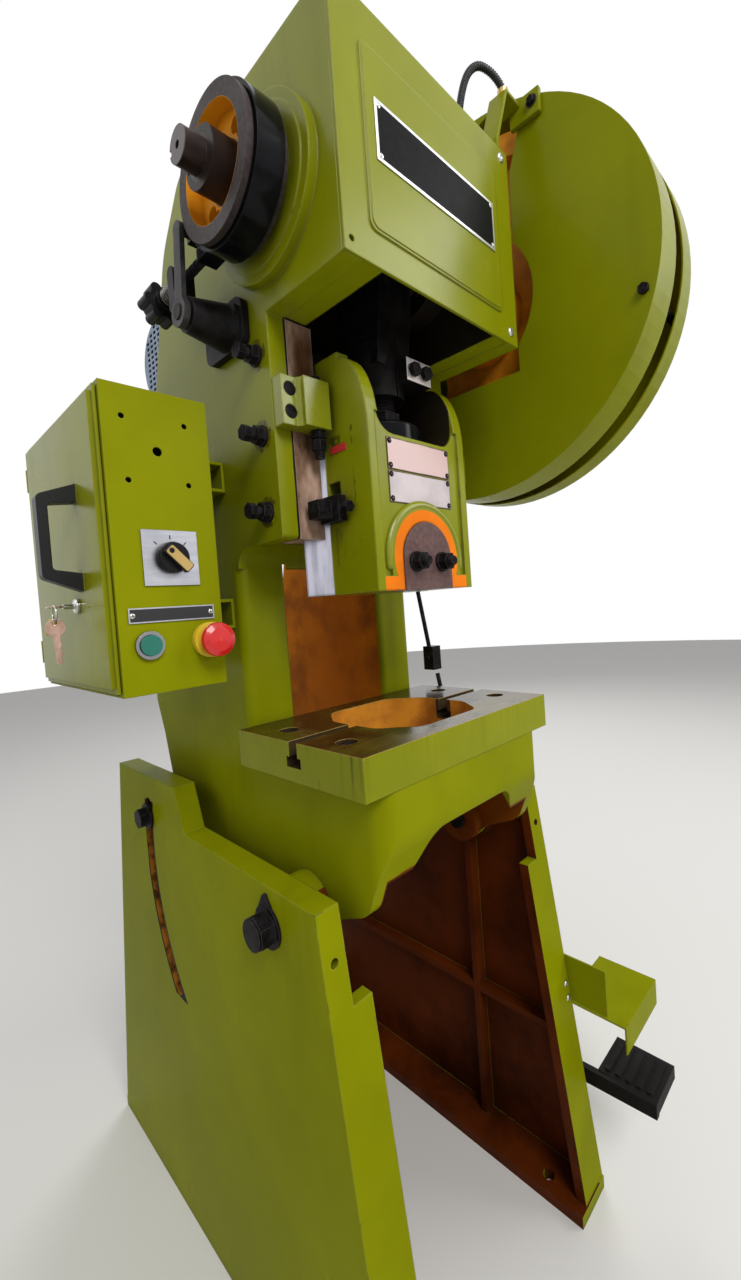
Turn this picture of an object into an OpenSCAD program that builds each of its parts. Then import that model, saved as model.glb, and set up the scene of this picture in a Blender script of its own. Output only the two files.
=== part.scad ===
// Small inclinable C-frame stamping press with a crank, a flywheel and a foot pedal.
// X runs to the right, Y to the back and Z up. The origin is on the floor, in the
// middle of the four floor bolts. Most modules draw in the press frame, whose Y is
// measured from the crank and slide centre line and whose Z is measured from the
// top of the bolster plate.

/* [Table and throat] */
// Height of the bolster top above the floor
table_z = 784; // [774:1:800]
// Distance from the slide centre line back to the column
throat_d = 127; // [124:1:132]
// Height of the lower end of the guides above the bolster
throat_h = 240; // [236:1:246]
// Width of the bolster plate
bolster_w = 370; // [360:1:376]
// Depth of the bolster plate, front to back
bolster_d = 244; // [238:1:246]
// Thickness of the bolster plate
bolster_t = 47; // [42:1:52]
// Width of the drop hole in the bolster
hole_w = 184; // [160:1:190]
// Depth of the drop hole, front to back
hole_d = 176; // [150:1:180]
// Width of the T-slot at the surface
slot_w = 16; // [14:1:18]
// Width of the T-slot at its bottom
slot_wide = 28; // [26:1:32]

/* [Frame] */
// Outside width of the C-frame
frame_w = 326; // [322:1:328]
// Clear gap between the two cheeks
upright_gap = 180; // [172:1:186]
// Height of the crank centre above the bolster
crank_h = 629; // [626:1:634]
// Height of the underside of the head
head_bot = 508; // [504:1:512]
// Height of the top of the head above the crank centre
head_rise = 151; // [147:1:167]
// Wall of the head casting
head_wall = 20; // [16:1:24]
// Face of the guides, behind the crank centre line
guide_front = 19; // [18:1:20]
// Side wall of the hollow body under the table
body_wall = 18; // [14:1:22]
// Thickness of the head cover sheet
cover_t = 4; // [3:0.5:5]
// Radius of the bearing boss on the cheek
boss_r = 96; // [90:1:98]

/* [Crank and rod] */
// Crank radius, half of the slide stroke
throw_r = 22.5; // [20:0.5:24]
// Radius of the main journals
journal_r = 32; // [30:0.5:34]
// Radius of the crank pin
pin_r = 30; // [28:0.5:31]
// Wall of the main bearing bushes
bush_t = 8; // [6:0.5:9]
// Radius of the ball of the ball screw
ball_r = 26; // [24:0.5:27]
// Radius of the screw thread above the ball
screw_r = 20; // [18:0.5:21]
// Gap left at the opened crank pin joint
open_gap = 1.5; // [1:0.25:2.5]

/* [Slide] */
// Width of the slide face
slide_w = 186; // [180:1:187]
// Face of the slide, in front of the crank centre line
slide_front = 68; // [66:1:70]
// Height of the slide bottom above the bolster at the high end of the stroke
slide_bot = 168.6; // [166:0.2:172]
// Height of the slide body
slide_h = 198.4; // [196:0.2:200]
// How far the V-shaped ways stand out at each side
way_d = 25; // [22:1:26]
// Radius of the tool shank hole
shank_r = 15; // [12.5:0.5:16]
// Depth of the tool shank hole
shank_len = 60; // [55:1:62]
// Radius of the shank clamp
clamp_r = 47; // [44:1:48]
// Highest lift of the knock-out bar in its slot
knock_lift = 25; // [20:1:25]

/* [Drive] */
// Radius of the flywheel
wheel_r = 275; // [268:1:278]
// Width of the flywheel rim
wheel_w = 80; // [76:1:84]
// Radius of the sheet guard around the flywheel
guard_r = 305.5; // [302:0.5:310]
// Thickness of the guard sheet
guard_t = 2.5; // [2:0.5:3]
// Radius of the grooves of the motor pulley
pulley_r = 38; // [36:1:42]
// Radius of the motor housing
motor_r = 80; // [76:1:82]
// Distance of the motor shaft behind the crank
motor_y = 512; // [508:1:520]
// Height of the motor shaft above the bolster
motor_z = 662; // [658:1:666]
// Radius of the brake drum
drum_r = 74; // [72:0.5:76]

/* [Legs] */
// Width over both legs
leg_span = 446; // [444:1:448]
// Thickness of the leg plate
leg_t = 14; // [12:1:15]
// Thickness of the flanges around each leg
leg_rim = 16; // [14:1:18]
// Height of the tilt pivot below the bolster top
pivot_z = -205; // [-208:1:-202]
// Distance of the tilt pivot behind the slide centre line
pivot_y = 17; // [15:1:19]
// Radius of the pivot bolts
pivot_r = 14; // [12:0.5:15]
// Radius of the curved lock slot about the pivot
lock_path_r = 345; // [342:1:348]
// Largest tilt of the frame
tilt_max = 35; // [30:1:36]
// Distance between the floor bolts across the press
floor_dx = 340; // [330:1:350]
// Distance between the floor bolts front to back
floor_dy = 620; // [590:1:630]

/* [Control box] */
// Width of the control box
box_w = 113; // [108:1:116]
// Height of the control box
box_h = 325; // [318:1:332]
// Depth of the control box
box_d = 290; // [284:1:296]
// Sheet thickness of the control box
box_t = 2; // [1.5:0.25:2.5]

/* [Hidden] */
$fn = 64;

green = [0.56, 0.62, 0.16];
primer = [0.85, 0.45, 0.10];
steel = [0.62, 0.62, 0.60];
dark = [0.16, 0.15, 0.15];
bronze = [0.72, 0.52, 0.25];

// Running fit between a shaft and its bore, on the radius
fit = 0.05;
// Gap between parts that slide past each other, and at a seat
gap = 0.3;
// Crank centre line in the floor frame
crank_y = -222;

head_top = crank_h + head_rise;
half_w = frame_w / 2;
half_gap = upright_gap / 2;
table_front = -bolster_d / 2;
head_front = 122;
guide_wall = 66;
way_v = guide_front - 5;
way_back = way_v + 2 * way_d;
way_apex = slide_w / 2 + way_d;
gib_x = way_apex + 19;
gib_top = head_bot - gap;

// The crank stands at the top of its way, where the brake holds it
pin_z = crank_h + throw_r;
strap_r = pin_r + throw_r + open_gap;
strap_rim = 12;
strap_w = 60;
pin_w = strap_w + 3;
web_t = 25;
web_r = 45;
journal_x0 = pin_w / 2 + web_t;
bore_x0 = 70;
boss_t = 12;
journal_x1 = half_w + boss_t + 3;

ball_z = slide_bot + 179.4;
seat_z = slide_bot + slide_h - 5;
ring_h = 18;
ring_r = 44;
nut_z0 = seat_z + ring_h + 12;
nut_z1 = nut_z0 + 20;
screw_top = nut_z0 + 110;
rod_bot = nut_z1 + 18;

wheel_x = 250;
guard_x = half_w + 70.5;
guard_gap0 = guard_x + 59.5;
guard_gap1 = guard_x + 93.5;
guard_x1 = guard_x + 131.5;
belt_w = 10;
belt_h = 8;
belt_step = 15;
belt_x = wheel_x + 25;
belt_count = 3;

leg_x = leg_span / 2;
leg_in = leg_x - 31;
leg_in_low = leg_x - 57.5;
foot_in = leg_x - 75;
step_z = -267;
lock_rest = 8;

hood_x = leg_x + 12;

motor_x0 = -48;
motor_x1 = 205;

pedal_y = 207;
pedal_z = -table_z + 134;
eye_y = -5;
eye_z = pedal_z + 13;
tread_z = pedal_z + 36;
hood_z = pedal_z + 146;
rod_x = leg_x + 7;
block_y = 130;
block_z = 45;
lever_y = 150;
lever_z = 430;
lever_arm = 55;
lever_rest = 11.5;
lever_pin_y = lever_y + lever_arm * cos(lever_rest);
lever_pin_z = lever_z + lever_arm * sin(lever_rest);

box_x = -half_w - 63;
box_y = 63;
box_z = 74;

// A point list with a corner radius after each Y, Z pair, turned into a smooth outline
function unit(v) = v / norm(v);
function corner_arc(a, b, c, r, n = 6) =
    let (u = unit(a - b), w = unit(c - b), half = acos(u * w) / 2)
    let (mid = b + unit(u + w) * r / sin(half), p = b + u * r / tan(half), q = b + w * r / tan(half))
    let (a0 = atan2(p[1] - mid[1], p[0] - mid[0]), a1 = atan2(q[1] - mid[1], q[0] - mid[0]))
    let (turn = (a1 - a0 + 540) % 360 - 180)
    [for (i = [0:n]) mid + r * [cos(a0 + turn * i / n), sin(a0 + turn * i / n)]];
function xy(p) = [p[0], p[1]];
function rounded(pts, n = 6) =
    [for (i = [0:len(pts) - 1])
        let (p = pts[i], a = pts[(i + len(pts) - 1) % len(pts)], c = pts[(i + 1) % len(pts)])
        each (p[2] == 0 ? [xy(p)] : corner_arc(xy(a), xy(p), xy(c), p[2], n))];

// The same outline moved inwards by a wall, for a list that runs counterclockwise
function inset(pts, t) =
    [for (i = [0:len(pts) - 1])
        let (p = pts[i], a = pts[(i + len(pts) - 1) % len(pts)], c = pts[(i + 1) % len(pts)])
        let (u = unit(p - a), w = unit(c - p), n1 = [-u[1], u[0]], n2 = [-w[1], w[0]])
        p + t * (n1 + n2) / (1 + n1 * n2)];

// Points along a smooth curve through hand-placed points, and rings of a tube around it
function spline(p, i, t) =
    let (a = p[max(i - 1, 0)], b = p[i], c = p[i + 1], d = p[min(i + 2, len(p) - 1)])
    0.5 * (2 * b + (c - a) * t + (2 * a - 5 * b + 4 * c - d) * t * t
        + (3 * b - a - 3 * c + d) * t * t * t);
function smooth_path(p, n) =
    [for (i = [0:len(p) - 2]) for (k = [0:n - 1]) spline(p, i, k / n), p[len(p) - 1]];
function tube_ring(path, i, r, sides, side) =
    let (t = unit(path[min(i + 1, len(path) - 1)] - path[max(i - 1, 0)]))
    let (u = unit(cross(side, t)), w = cross(t, u))
    [for (k = [0:sides - 1]) path[i] + r * (cos(360 * k / sides) * u + sin(360 * k / sides) * w)];
module tube(path, r, sides = 8, side = [1, 0, 0]) {
    n = len(path);
    rings = [for (i = [0:n - 1]) each tube_ring(path, i, r, sides, side)];
    walls = [for (i = [0:n - 2]) for (k = [0:sides - 1])
        [i * sides + k, (i + 1) * sides + k, (i + 1) * sides + (k + 1) % sides, i * sides + (k + 1) % sides]];
    ends = [[for (k = [0:sides - 1]) k], [for (k = [sides - 1:-1:0]) (n - 1) * sides + k]];
    polyhedron(points = rings, faces = concat(walls, ends));
}

module press() {
    translate([0, crank_y, table_z]) children();
}
module along_x(w) {
    rotate([90, 0, 90]) linear_extrude(w, center = true) children();
}
module slab(x0, x1, y0, y1, z0, z1) {
    translate([x0, y0, z0]) cube([x1 - x0, y1 - y0, z1 - z0]);
}
module bar_x(r, x0, x1, y, z) {
    translate([x0, y, z]) rotate([0, 90, 0]) cylinder(r = r, h = x1 - x0);
}
module bar_y(r, y0, y1, x, z) {
    translate([x, y0, z]) rotate([-90, 0, 0]) cylinder(r = r, h = y1 - y0);
}
module bar_z(r, z0, z1, x, y) {
    translate([x, y, z0]) cylinder(r = r, h = z1 - z0);
}
module both_sides() {
    children();
    mirror([1, 0, 0]) children();
}
module hex_x(r, x0, x1, y, z) {
    translate([x0, y, z]) rotate([0, 90, 0]) cylinder(r = r, h = x1 - x0, $fn = 6);
}
module hex_y(r, y0, y1, x, z) {
    translate([x, y0, z]) rotate([-90, 0, 0]) cylinder(r = r, h = y1 - y0, $fn = 6);
}
module hex_z(r, z0, z1, x, y) {
    translate([x, y, z0]) cylinder(r = r, h = z1 - z0, $fn = 6);
}

// Legs

leg_outline = [[-154, -table_z], [599, -table_z], [475, -91], [254, -92], [231, -154], [-74, -160]];

module arc_slot(w) {
    a0 = lock_rest + 3;
    a1 = lock_rest - tilt_max - 9;
    outer = [for (i = [0:16]) (lock_path_r + 12) * [cos(a0 + (a1 - a0) * i / 16), sin(a0 + (a1 - a0) * i / 16)]];
    inner = [for (i = [16:-1:0]) (lock_path_r - 12) * [cos(a0 + (a1 - a0) * i / 16), sin(a0 + (a1 - a0) * i / 16)]];
    translate([w, pivot_y, pivot_z]) along_x(60) {
        polygon(concat(outer, inner));
        for (a = [a0, a1]) translate(lock_path_r * [cos(a), sin(a)]) circle(r = 12);
    }
}
module leg_rim_2d() {
    difference() {
        polygon(leg_outline);
        polygon(inset(leg_outline, leg_rim));
    }
}
module right_leg_solid() {
    difference() {
        union() {
            translate([leg_x - leg_t / 2, 0, 0]) along_x(leg_t) polygon(leg_outline);
            translate([(leg_x + leg_in) / 2, 0, 0]) along_x(leg_x - leg_in) leg_rim_2d();
            translate([(leg_x + leg_in_low) / 2, 0, 0]) along_x(leg_x - leg_in_low) intersection() {
                leg_rim_2d();
                translate([-200, -table_z]) square([180, table_z + step_z]);
            }
            slab(foot_in, leg_x, -154 + leg_rim, 599 - leg_rim, -table_z, -table_z + 18);
            slab(foot_in, leg_x, -153.9, -120, -table_z, -table_z + 18);
            slab(foot_in, leg_x, 565, 598.9, -table_z, -table_z + 18);
            slab(leg_x - 34, leg_x - leg_t + 1, -118, 540, -541, -529);
            slab(leg_x - 34, leg_x - leg_t + 1, 41, 53, -table_z + 10, -165);
            bar_x(40, half_w + gap, leg_x - 1, pivot_y, pivot_z);
        }
        bar_x(pivot_r + fit, half_w - 5, leg_x + 5, pivot_y, pivot_z);
        arc_slot(leg_x);
        bar_y(5, -100, 0, leg_x - 15.5, -215);
        for (s = [-1, 1]) {
            bar_z(9, -table_z - 1, -table_z + 30, floor_dx / 2, -crank_y + s * floor_dy / 2);
        }
    }
}
// Tie rods between the legs, behind and low, with a flange bolted to each web from inside
tie_r = 18;
tie_flange_r = 32;
tie_flange_t = 12;
tie_places = [[470, -table_z + 364], [470, -table_z + 84]];
module right_leg() {
    color(green) press() right_leg_solid();
}
module left_leg() {
    color(green) press() mirror([1, 0, 0]) right_leg_solid();
}
module tie_rods() {
    color(dark) press() for (p = tie_places) {
        web = leg_x - leg_t;
        bar_x(tie_r, -web + 1, web - 1, p[0], p[1]);
        both_sides() {
            bar_x(tie_flange_r, web - tie_flange_t, web, p[0], p[1]);
            for (a = [0, 120, 240]) {
                hex_x(4.5, web - tie_flange_t - 5, web - tie_flange_t + 1, p[0] + 25 * cos(a), p[1] + 25 * sin(a));
            }
        }
    }
}
module pivot_bolts() {
    color(dark) press() both_sides() {
        bar_x(pivot_r, half_w - body_wall - 20, leg_x + 1, pivot_y, pivot_z);
        hex_x(pivot_r + 7, leg_x + 3, leg_x + 20, pivot_y, pivot_z);
        bar_x(pivot_r + 4, leg_x + 20, leg_x + 23, pivot_y, pivot_z);
        translate([leg_x + 1.5, pivot_y, pivot_z]) along_x(3) {
            circle(r = pivot_r + 11);
            polygon([[-16, 16], [0, 38], [6, 36], [20, 12]]);
        }
    }
}
module lock_bolts() {
    y = pivot_y + lock_path_r * cos(lock_rest);
    z = pivot_z + lock_path_r * sin(lock_rest);
    color(dark) press() both_sides() {
        bar_x(10, half_w - 45, leg_x + 3, y, z);
        bar_x(20, leg_x + gap, leg_x + 4, y, z);
        hex_x(15, leg_x + 4, leg_x + 17, y, z);
    }
}

// C-frame

module frame_outline() {
    polygon(rounded([
        [-head_front, head_bot, 0],
        [guide_front, head_bot, 0],
        [guide_front, throat_h, 6],
        [throat_d, throat_h, 28],
        [throat_d, -bolster_t, 0],
        [-head_front + 1, -bolster_t, 0],
        [-head_front + 2, -110, 60],
        [-88, -186, 34],
        [-30, -210, 30],
        [20, -252, 40],
        [80, -225, 40],
        [330, -205, 40],
        [395, -140, 30],
        [421, -43, 0],
        [444, 15, 40],
        [340, head_bot + 14, 160],
        [277, head_top - 80, 120],
        [205, head_top, 60],
        [-head_front, head_top, 0]]));
}
// Rounds an upright edge whose corner is at x, y; sx and sy point out of the metal
module edge_cutter(x, y, r, sx, sy, z0, z1) {
    translate([x, y, z0]) difference() {
        slab(min(0, -sx * r) - 1, max(0, -sx * r) + 1, min(0, -sy * r) - 1, max(0, -sy * r) + 1, 0, z1 - z0);
        bar_z(r, -1, z1 - z0 + 1, -sx * r, -sy * r);
        translate([-sx * r, -sy * r, -1]) scale([-sx, -sy, 1]) cube([r + 3, r + 3, z1 - z0 + 2]);
        translate([-sx * r, -sy * r, -1]) scale([sx, -sy, 1]) cube([r + 3, r + 3, z1 - z0 + 2]);
        translate([-sx * r, -sy * r, -1]) scale([-sx, sy, 1]) cube([r + 3, r + 3, z1 - z0 + 2]);
    }
}
module arch_2d() {
    polygon(rounded([[-112, -320, 0], [-112, -165, 30], [-78, -112, 34], [78, -112, 34],
        [112, -165, 30], [112, -320, 0]]));
}
module frame_cavities() {
    wide = half_w - body_wall;
    // hollow under the table, open below, with the arch through the front wall
    slab(-wide, wide, -head_front + 20, throat_d + 1, -320, -bolster_t - 22);
    translate([0, -head_front + 21, 0]) rotate([90, 0, 0]) linear_extrude(60) arch_2d();
    slab(-hole_w / 2 - 6, hole_w / 2 + 6, -hole_d / 2 - 4, hole_d / 2 + 4, -bolster_t - 23, -bolster_t + 1);
    // open back between the cheeks
    slab(-half_gap, half_gap, throat_d, 480, -320, head_bot);
    slab(-half_gap, half_gap, 175, 480, head_bot - 1, head_top - 2 * head_wall);
    // seat of the gibs and the slide, open to the front and below
    slab(-gib_x, gib_x, -head_front, guide_wall, throat_h - 60, head_bot + 1);
    // head box with the crank, open below and in front
    slab(-half_w + 58, half_w - 58, -head_front - 1, 150, head_bot - 1, head_top - head_wall);
    // cored pockets in the cheeks, open to the back
    both_sides() slab(half_gap + 15, half_w - 14, throat_d + 36, 480, -100, 480);
}
module press_frame() {
    lock_y = pivot_y + lock_path_r * cos(lock_rest);
    lock_z = pivot_z + lock_path_r * sin(lock_rest);
    color(green) press() difference() {
        union() {
            difference() {
                union() {
                    along_x(frame_w) frame_outline();
                    bar_x(boss_r, -half_w - boss_t, half_w + boss_t, 0, crank_h);
                    bar_x(boss_r - 12, -half_w - boss_t - 1.5, half_w + boss_t + 1.5, 0, crank_h);
                }
                frame_cavities();
            }
            both_sides() {
                bar_x(60, bore_x0, half_w, 0, crank_h);
                bar_x(36, half_w - body_wall - 14, half_w - 1, pivot_y, pivot_z);
                bar_x(28, half_w - 1, leg_x - leg_t - gap, lock_y, lock_z);
                // ears that carry the motor plate
                bar_x(18, half_gap, half_gap + 26, ear_y, ear_z);
                slab(half_gap, half_gap + 26, ear_y - 52, ear_y, ear_z - 18, ear_z + 18);
            }
            // lug and pin of the clutch lever
            bar_x(22, half_w - 1, half_w + 40, lever_y, lever_z);
            bar_x(10, half_w + 39, half_w + 62, lever_y, lever_z);
        }
        both_sides() {
            bar_x(journal_r + bush_t + fit, bore_x0 - 1, half_w + 20, 0, crank_h);
            bar_x(pivot_r + fit, half_w - 60, half_w + 1, pivot_y, pivot_z);
            bar_x(10.2, half_w - 60, leg_x, lock_y, lock_z);
            bar_x(8 + fit, half_gap - 1, half_gap + 30, ear_y, ear_z);
            edge_cutter(half_w, throat_d, 14, 1, -1, -bolster_t - 2, throat_h - 27);
            edge_cutter(half_gap, throat_d, 10, -1, -1, -bolster_t - 2, throat_h - 12);
            edge_cutter(half_w, -head_front + 1, 24, 1, -1, -300, -bolster_t + 1);
        }
        for (z = gib_screw_z) bar_x(6.2, -half_w - 1, -gib_x + 1, guide_front + 27, z);
        both_sides() for (z = bracket_z) bar_y(5.2, guide_front - 1, guide_front + 26, half_w - 13, z);
        both_sides() for (s = [-1, 1]) bar_z(8.2, -bolster_t - 23, -bolster_t + 1, bolster_screw_x, s * bolster_screw_y);
    }
}

// Pivot of the motor plate behind the cheeks
ear_y = 352;
ear_z = 564;
bolster_screw_x = 150;
bolster_screw_y = 57;
gib_screw_z = [275, 368, 465];
bracket_z = [388, 415];

module bolster_plate() {
    hw = hole_w / 2;
    hd = hole_d / 2;
    color([0.42, 0.40, 0.30]) press() difference() {
        translate([0, 0, -bolster_t]) linear_extrude(bolster_t) square([bolster_w, bolster_d], center = true);
        translate([0, 0, -bolster_t - 1]) linear_extrude(bolster_t + 2) polygon(rounded([
            [-hw, -hd * 0.45, 26], [-hw * 0.62, -hd, 26], [hw * 0.62, -hd, 26], [hw, -hd * 0.45, 26],
            [hw, hd * 0.45, 26], [hw * 0.62, hd, 26], [-hw * 0.62, hd, 26], [-hw, hd * 0.45, 26]]));
        along_x(bolster_w + 2) {
            translate([-slot_w / 2, -20]) square([slot_w, 21]);
            translate([-slot_wide / 2, -30]) square([slot_wide, 12]);
        }
        both_sides() for (s = [-1, 1]) translate([bolster_screw_x, s * bolster_screw_y, 0]) {
            translate([0, 0, -18]) cylinder(r = 13, h = 19);
            translate([0, 0, -bolster_t - 1]) cylinder(r = 8.4, h = bolster_t);
        }
    }
}
module bolster_screws() {
    color(dark) press() both_sides() for (s = [-1, 1]) difference() {
        translate([bolster_screw_x, s * bolster_screw_y, 0]) union() {
            translate([0, 0, -18]) cylinder(r = 12, h = 14);
            translate([0, 0, -bolster_t - 20]) cylinder(r = 8, h = bolster_t + 3);
        }
        hex_z(7, -12, -3, bolster_screw_x, s * bolster_screw_y);
    }
}

// Head cover and plates

cover_h = head_top - head_bot;
cover_mid = (head_top + head_bot) / 2;
cover_screw = [[-153, 522], [146, 525], [146, head_top - 14], [-153, head_top - 14]];
module head_cover() {
    color(green) press() translate([0, -head_front, 0]) rotate([90, 0, 0]) difference() {
        union() {
            linear_extrude(cover_t) translate([-half_w, head_bot]) square([frame_w, cover_h]);
            translate([0, 0, cover_t - 0.5]) linear_extrude(2.5) cover_panel_2d(0);
            translate([0, 0, cover_t + 1]) linear_extrude(2) cover_panel_2d(3);
        }
        for (p = cover_screw) translate([p[0], p[1], -1]) cylinder(r = 3.4, h = cover_t + 2);
    }
}
module cover_panel_2d(in) {
    polygon(rounded([[-126 + in, head_bot + 36 + in, 10], [126 - in, head_bot + 36 + in, 10],
        [126 - in, head_top - 42 - in, 10], [-126 + in, head_top - 42 - in, 10]]));
}
module cover_screws() {
    y = -head_front - cover_t;
    color([0.75, 0.74, 0.72]) press() {
        for (i = [1:3]) {
            bar_y(3, y - 1, y + cover_t, cover_screw[i][0], cover_screw[i][1]);
            bar_y(6, y - 3, y, cover_screw[i][0], cover_screw[i][1]);
        }
        for (s = [-1, 1]) for (z = [plate_z - 26, plate_z + 26]) {
            bar_y(2.6, y - 5.8, y - 4.5, s * 105, z);
        }
    }
}
plate_z = head_bot + 144;
module nameplate() {
    y = -head_front - cover_t - 3;
    color(dark) press() translate([0, y, plate_z]) rotate([90, 0, 0]) {
        linear_extrude(1.5) square([222, 64], center = true);
    }
}

// Guides of the slide

module gib_2d() {
    lip = gap * sqrt(2);
    polygon([[gib_x - fit, guide_front], [slide_w / 2 + 5 + lip, guide_front], [way_apex + lip, way_v + way_d],
        [slide_w / 2 + lip, way_back], [gib_x - fit, way_back]]);
}
module gib() {
    translate([0, 0, throat_h + gap]) linear_extrude(gib_top - throat_h - gap) gib_2d();
}
module right_gib() {
    color(bronze) press() gib();
}
module left_gib() {
    color(bronze) press() mirror([1, 0, 0]) gib();
}
module gib_screws() {
    y = guide_front + 27;
    color(dark) press() for (z = gib_screw_z) {
        bar_x(6, -half_w - 20, -gib_x - 0.1, y, z);
        bar_x(13, -half_w - 3, -half_w, y, z);
        hex_x(12, -half_w - 12, -half_w - 3, y, z);
        hex_x(10, -half_w - 28, -half_w - 19, y, z);
    }
}
module knockout_brackets() {
    x0 = slide_w / 2 + 7;
    x1 = half_w - 1;
    y0 = guide_front - 30;
    color(green) press() both_sides() difference() {
        union() {
            translate([0, 0, bracket_bot]) linear_extrude(58) polygon([[x1 - 24, y0 + 6], [x1 - 20, y0 + 12],
                [x1, y0 + 12], [x1, guide_front], [x0, guide_front], [x0, y0], [x1 - 24, y0]]);
        }
        for (z = bracket_z) {
            bar_y(5.2, y0 - 1, guide_front + 1, half_w - 13, z);
            bar_y(8.5, y0 - 1, y0 + 20, half_w - 13, z);
        }
        bar_z(6.1, bracket_bot - 1, bracket_bot + 60, stop_x, stop_y);
    }
}
bracket_bot = 372;
stop_x = slide_w / 2 + 18;
stop_y = guide_front - 17;
module stop_screws() {
    color(dark) press() both_sides() {
        bar_z(6, bracket_bot - 34, bracket_bot + 66, stop_x, stop_y);
        hex_z(10.5, bracket_bot - 9, bracket_bot, stop_x, stop_y);
        hex_z(9.5, bracket_bot - 24, bracket_bot - 12, stop_x, stop_y);
        for (z = bracket_z) {
            bar_y(5, guide_front - 15, guide_front + 24, half_w - 13, z);
            bar_y(8, guide_front - 18, guide_front - 10, half_w - 13, z);
        }
    }
}

// Crankshaft and its bearings

module main_bearings() {
    color(bronze) press() both_sides() difference() {
        bar_x(journal_r + bush_t, bore_x0, half_w + boss_t, 0, crank_h);
        bar_x(journal_r + fit, bore_x0 - 1, half_w + boss_t + 1, 0, crank_h);
    }
}
stub_end = -leg_x - 43;
drum_x0 = -half_w - 68;
hub_x1 = -half_w - 80;
module crankshaft() {
    color(steel) press() difference() {
        union() {
            bar_x(17.5, stub_end, hub_x1 + 1, 0, crank_h);
            bar_x(22, hub_x1, -journal_x1 + 1, 0, crank_h);
            both_sides() bar_x(journal_r, journal_x0 - 1, journal_x1, 0, crank_h);
            both_sides() along_web();
            bar_x(pin_r, -pin_w / 2 - 1, pin_w / 2 + 1, 0, pin_z);
            bar_x(pin_r, journal_x1 - 1, wheel_x + wheel_w + 12, 0, crank_h);
        }
        bar_x(4, stub_end - 1, stub_end + 9, 0, crank_h);
        slab(stub_end - 1, stub_end + 20, 14, 19, crank_h - 3, crank_h + 3);
    }
}
module along_web() {
    translate([pin_w / 2 + web_t / 2, 0, 0]) along_x(web_t) {
        translate([0, crank_h]) circle(r = web_r);
        translate([0, pin_z]) circle(r = web_r - 3);
        polygon([[-web_r, crank_h], [web_r, crank_h], [web_r - 3, pin_z], [-web_r + 3, pin_z]]);
    }
}
module clutch_collar() {
    x0 = journal_x1 + 4;
    color(steel) press() difference() {
        union() {
            bar_x(60, x0, x0 + 42, 0, crank_h);
            bar_x(66, x0 + 6, x0 + 20, 0, crank_h);
        }
        bar_x(pin_r + fit, x0 - 1, x0 + 50, 0, crank_h);
        slab(x0 - 1, x0 + 21, 30, 80, crank_h - 74, crank_h - 34);
    }
}
module shaft_end_plate() {
    x = wheel_x + wheel_w + 12;
    color(steel) press() {
        bar_x(46, x, x + 6, 0, crank_h);
        hex_x(11, x + 6, x + 14, 0, crank_h);
    }
}

// Brake

module brake_drum() {
    x0 = drum_x0;
    x1 = -half_w - boss_t - 7;
    color(steel) press() difference() {
        union() {
            difference() {
                union() {
                    bar_x(drum_r, x0, x0 + 7, 0, crank_h);
                    bar_x(drum_r - 3, x0 + 6, x1, 0, crank_h);
                }
                bar_x(drum_r - 17, x0 - 1, x0 + 18, 0, crank_h);
                bar_x(drum_r - 14, x0 + 28, x1 + 1, 0, crank_h);
            }
            bar_x(30, hub_x1, x1 + 1, 0, crank_h);
        }
        bar_x(22 + fit, hub_x1 - 1, x1 + 2, 0, crank_h);
        for (a = [45:90:315]) translate([0, 0, crank_h]) rotate([a, 0, 0]) {
            bar_x(8.5, x0, x0 + 40, 43 * cos(9), 43 * sin(9));
            bar_x(8.5, x0, x0 + 40, 43 * cos(9), -43 * sin(9));
        }
        slab(hub_x1 - 1, hub_x1 + 12, 20, 26, crank_h - 4, crank_h + 4);
    }
}
band_in = drum_r - 2.6;
band_out = drum_r + 4;
band_x0 = drum_x0 + 9;
band_x1 = band_x0 + 32;
module brake_band() {
    color(dark) press() translate([band_x0, 0, crank_h]) rotate([0, 90, 0]) {
        difference() {
            union() {
                cylinder(r = band_out, h = band_x1 - band_x0);
                // lugs at both ends of the band; local X points down, Y to the back
                translate([18, 64, 4]) cube([14, 26, 24]);
                translate([48, 44, 4]) cube([14, 26, 24]);
            }
            translate([0, 0, -1]) cylinder(r = band_in, h = band_x1 - band_x0 + 2);
            translate([32, 40, -1]) cube([16, 60, band_x1 - band_x0 + 2]);
            translate([25, 82, -1]) cylinder(r = 5 + fit, h = 40);
        }
    }
}
brake_pin_y = 92;
brake_pin_z = crank_h - 116;
stud_z = crank_h - 55;
stud_x = -half_w - 46;
module brake_bracket() {
    color(dark) press() difference() {
        union() {
            // foot on the cheek with its two bolts
            translate([-half_w - 5 - gap / 2, brake_pin_y, brake_pin_z]) along_x(10 - gap) {
                polygon(rounded([[-36, -30, 14], [58, -30, 14], [58, 30, 14], [-36, 30, 14]]));
            }
            for (y = [-25, 46]) hex_x(8, -half_w - 17, -half_w - 9, brake_pin_y + y, brake_pin_z + 12);
            // tapered boss of the link pin
            translate([-half_w - 9, brake_pin_y, brake_pin_z]) rotate([0, -90, 0]) cylinder(r1 = 29, r2 = 20, h = 53);
            bar_x(9, -half_w - 74, -half_w - 61, brake_pin_y, brake_pin_z);
            // arm up to the stud that tightens the band
            translate([stud_x, brake_pin_y, brake_pin_z]) along_x(28) polygon(rounded([[-14, 12, 0], [8, -14, 0],
                [48, 26, 6], [48, 77, 8], [32, 77, 8], [32, 44, 6]]));
        }
        bar_y(7, 120, 144, stud_x, stud_z);
    }
}
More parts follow.
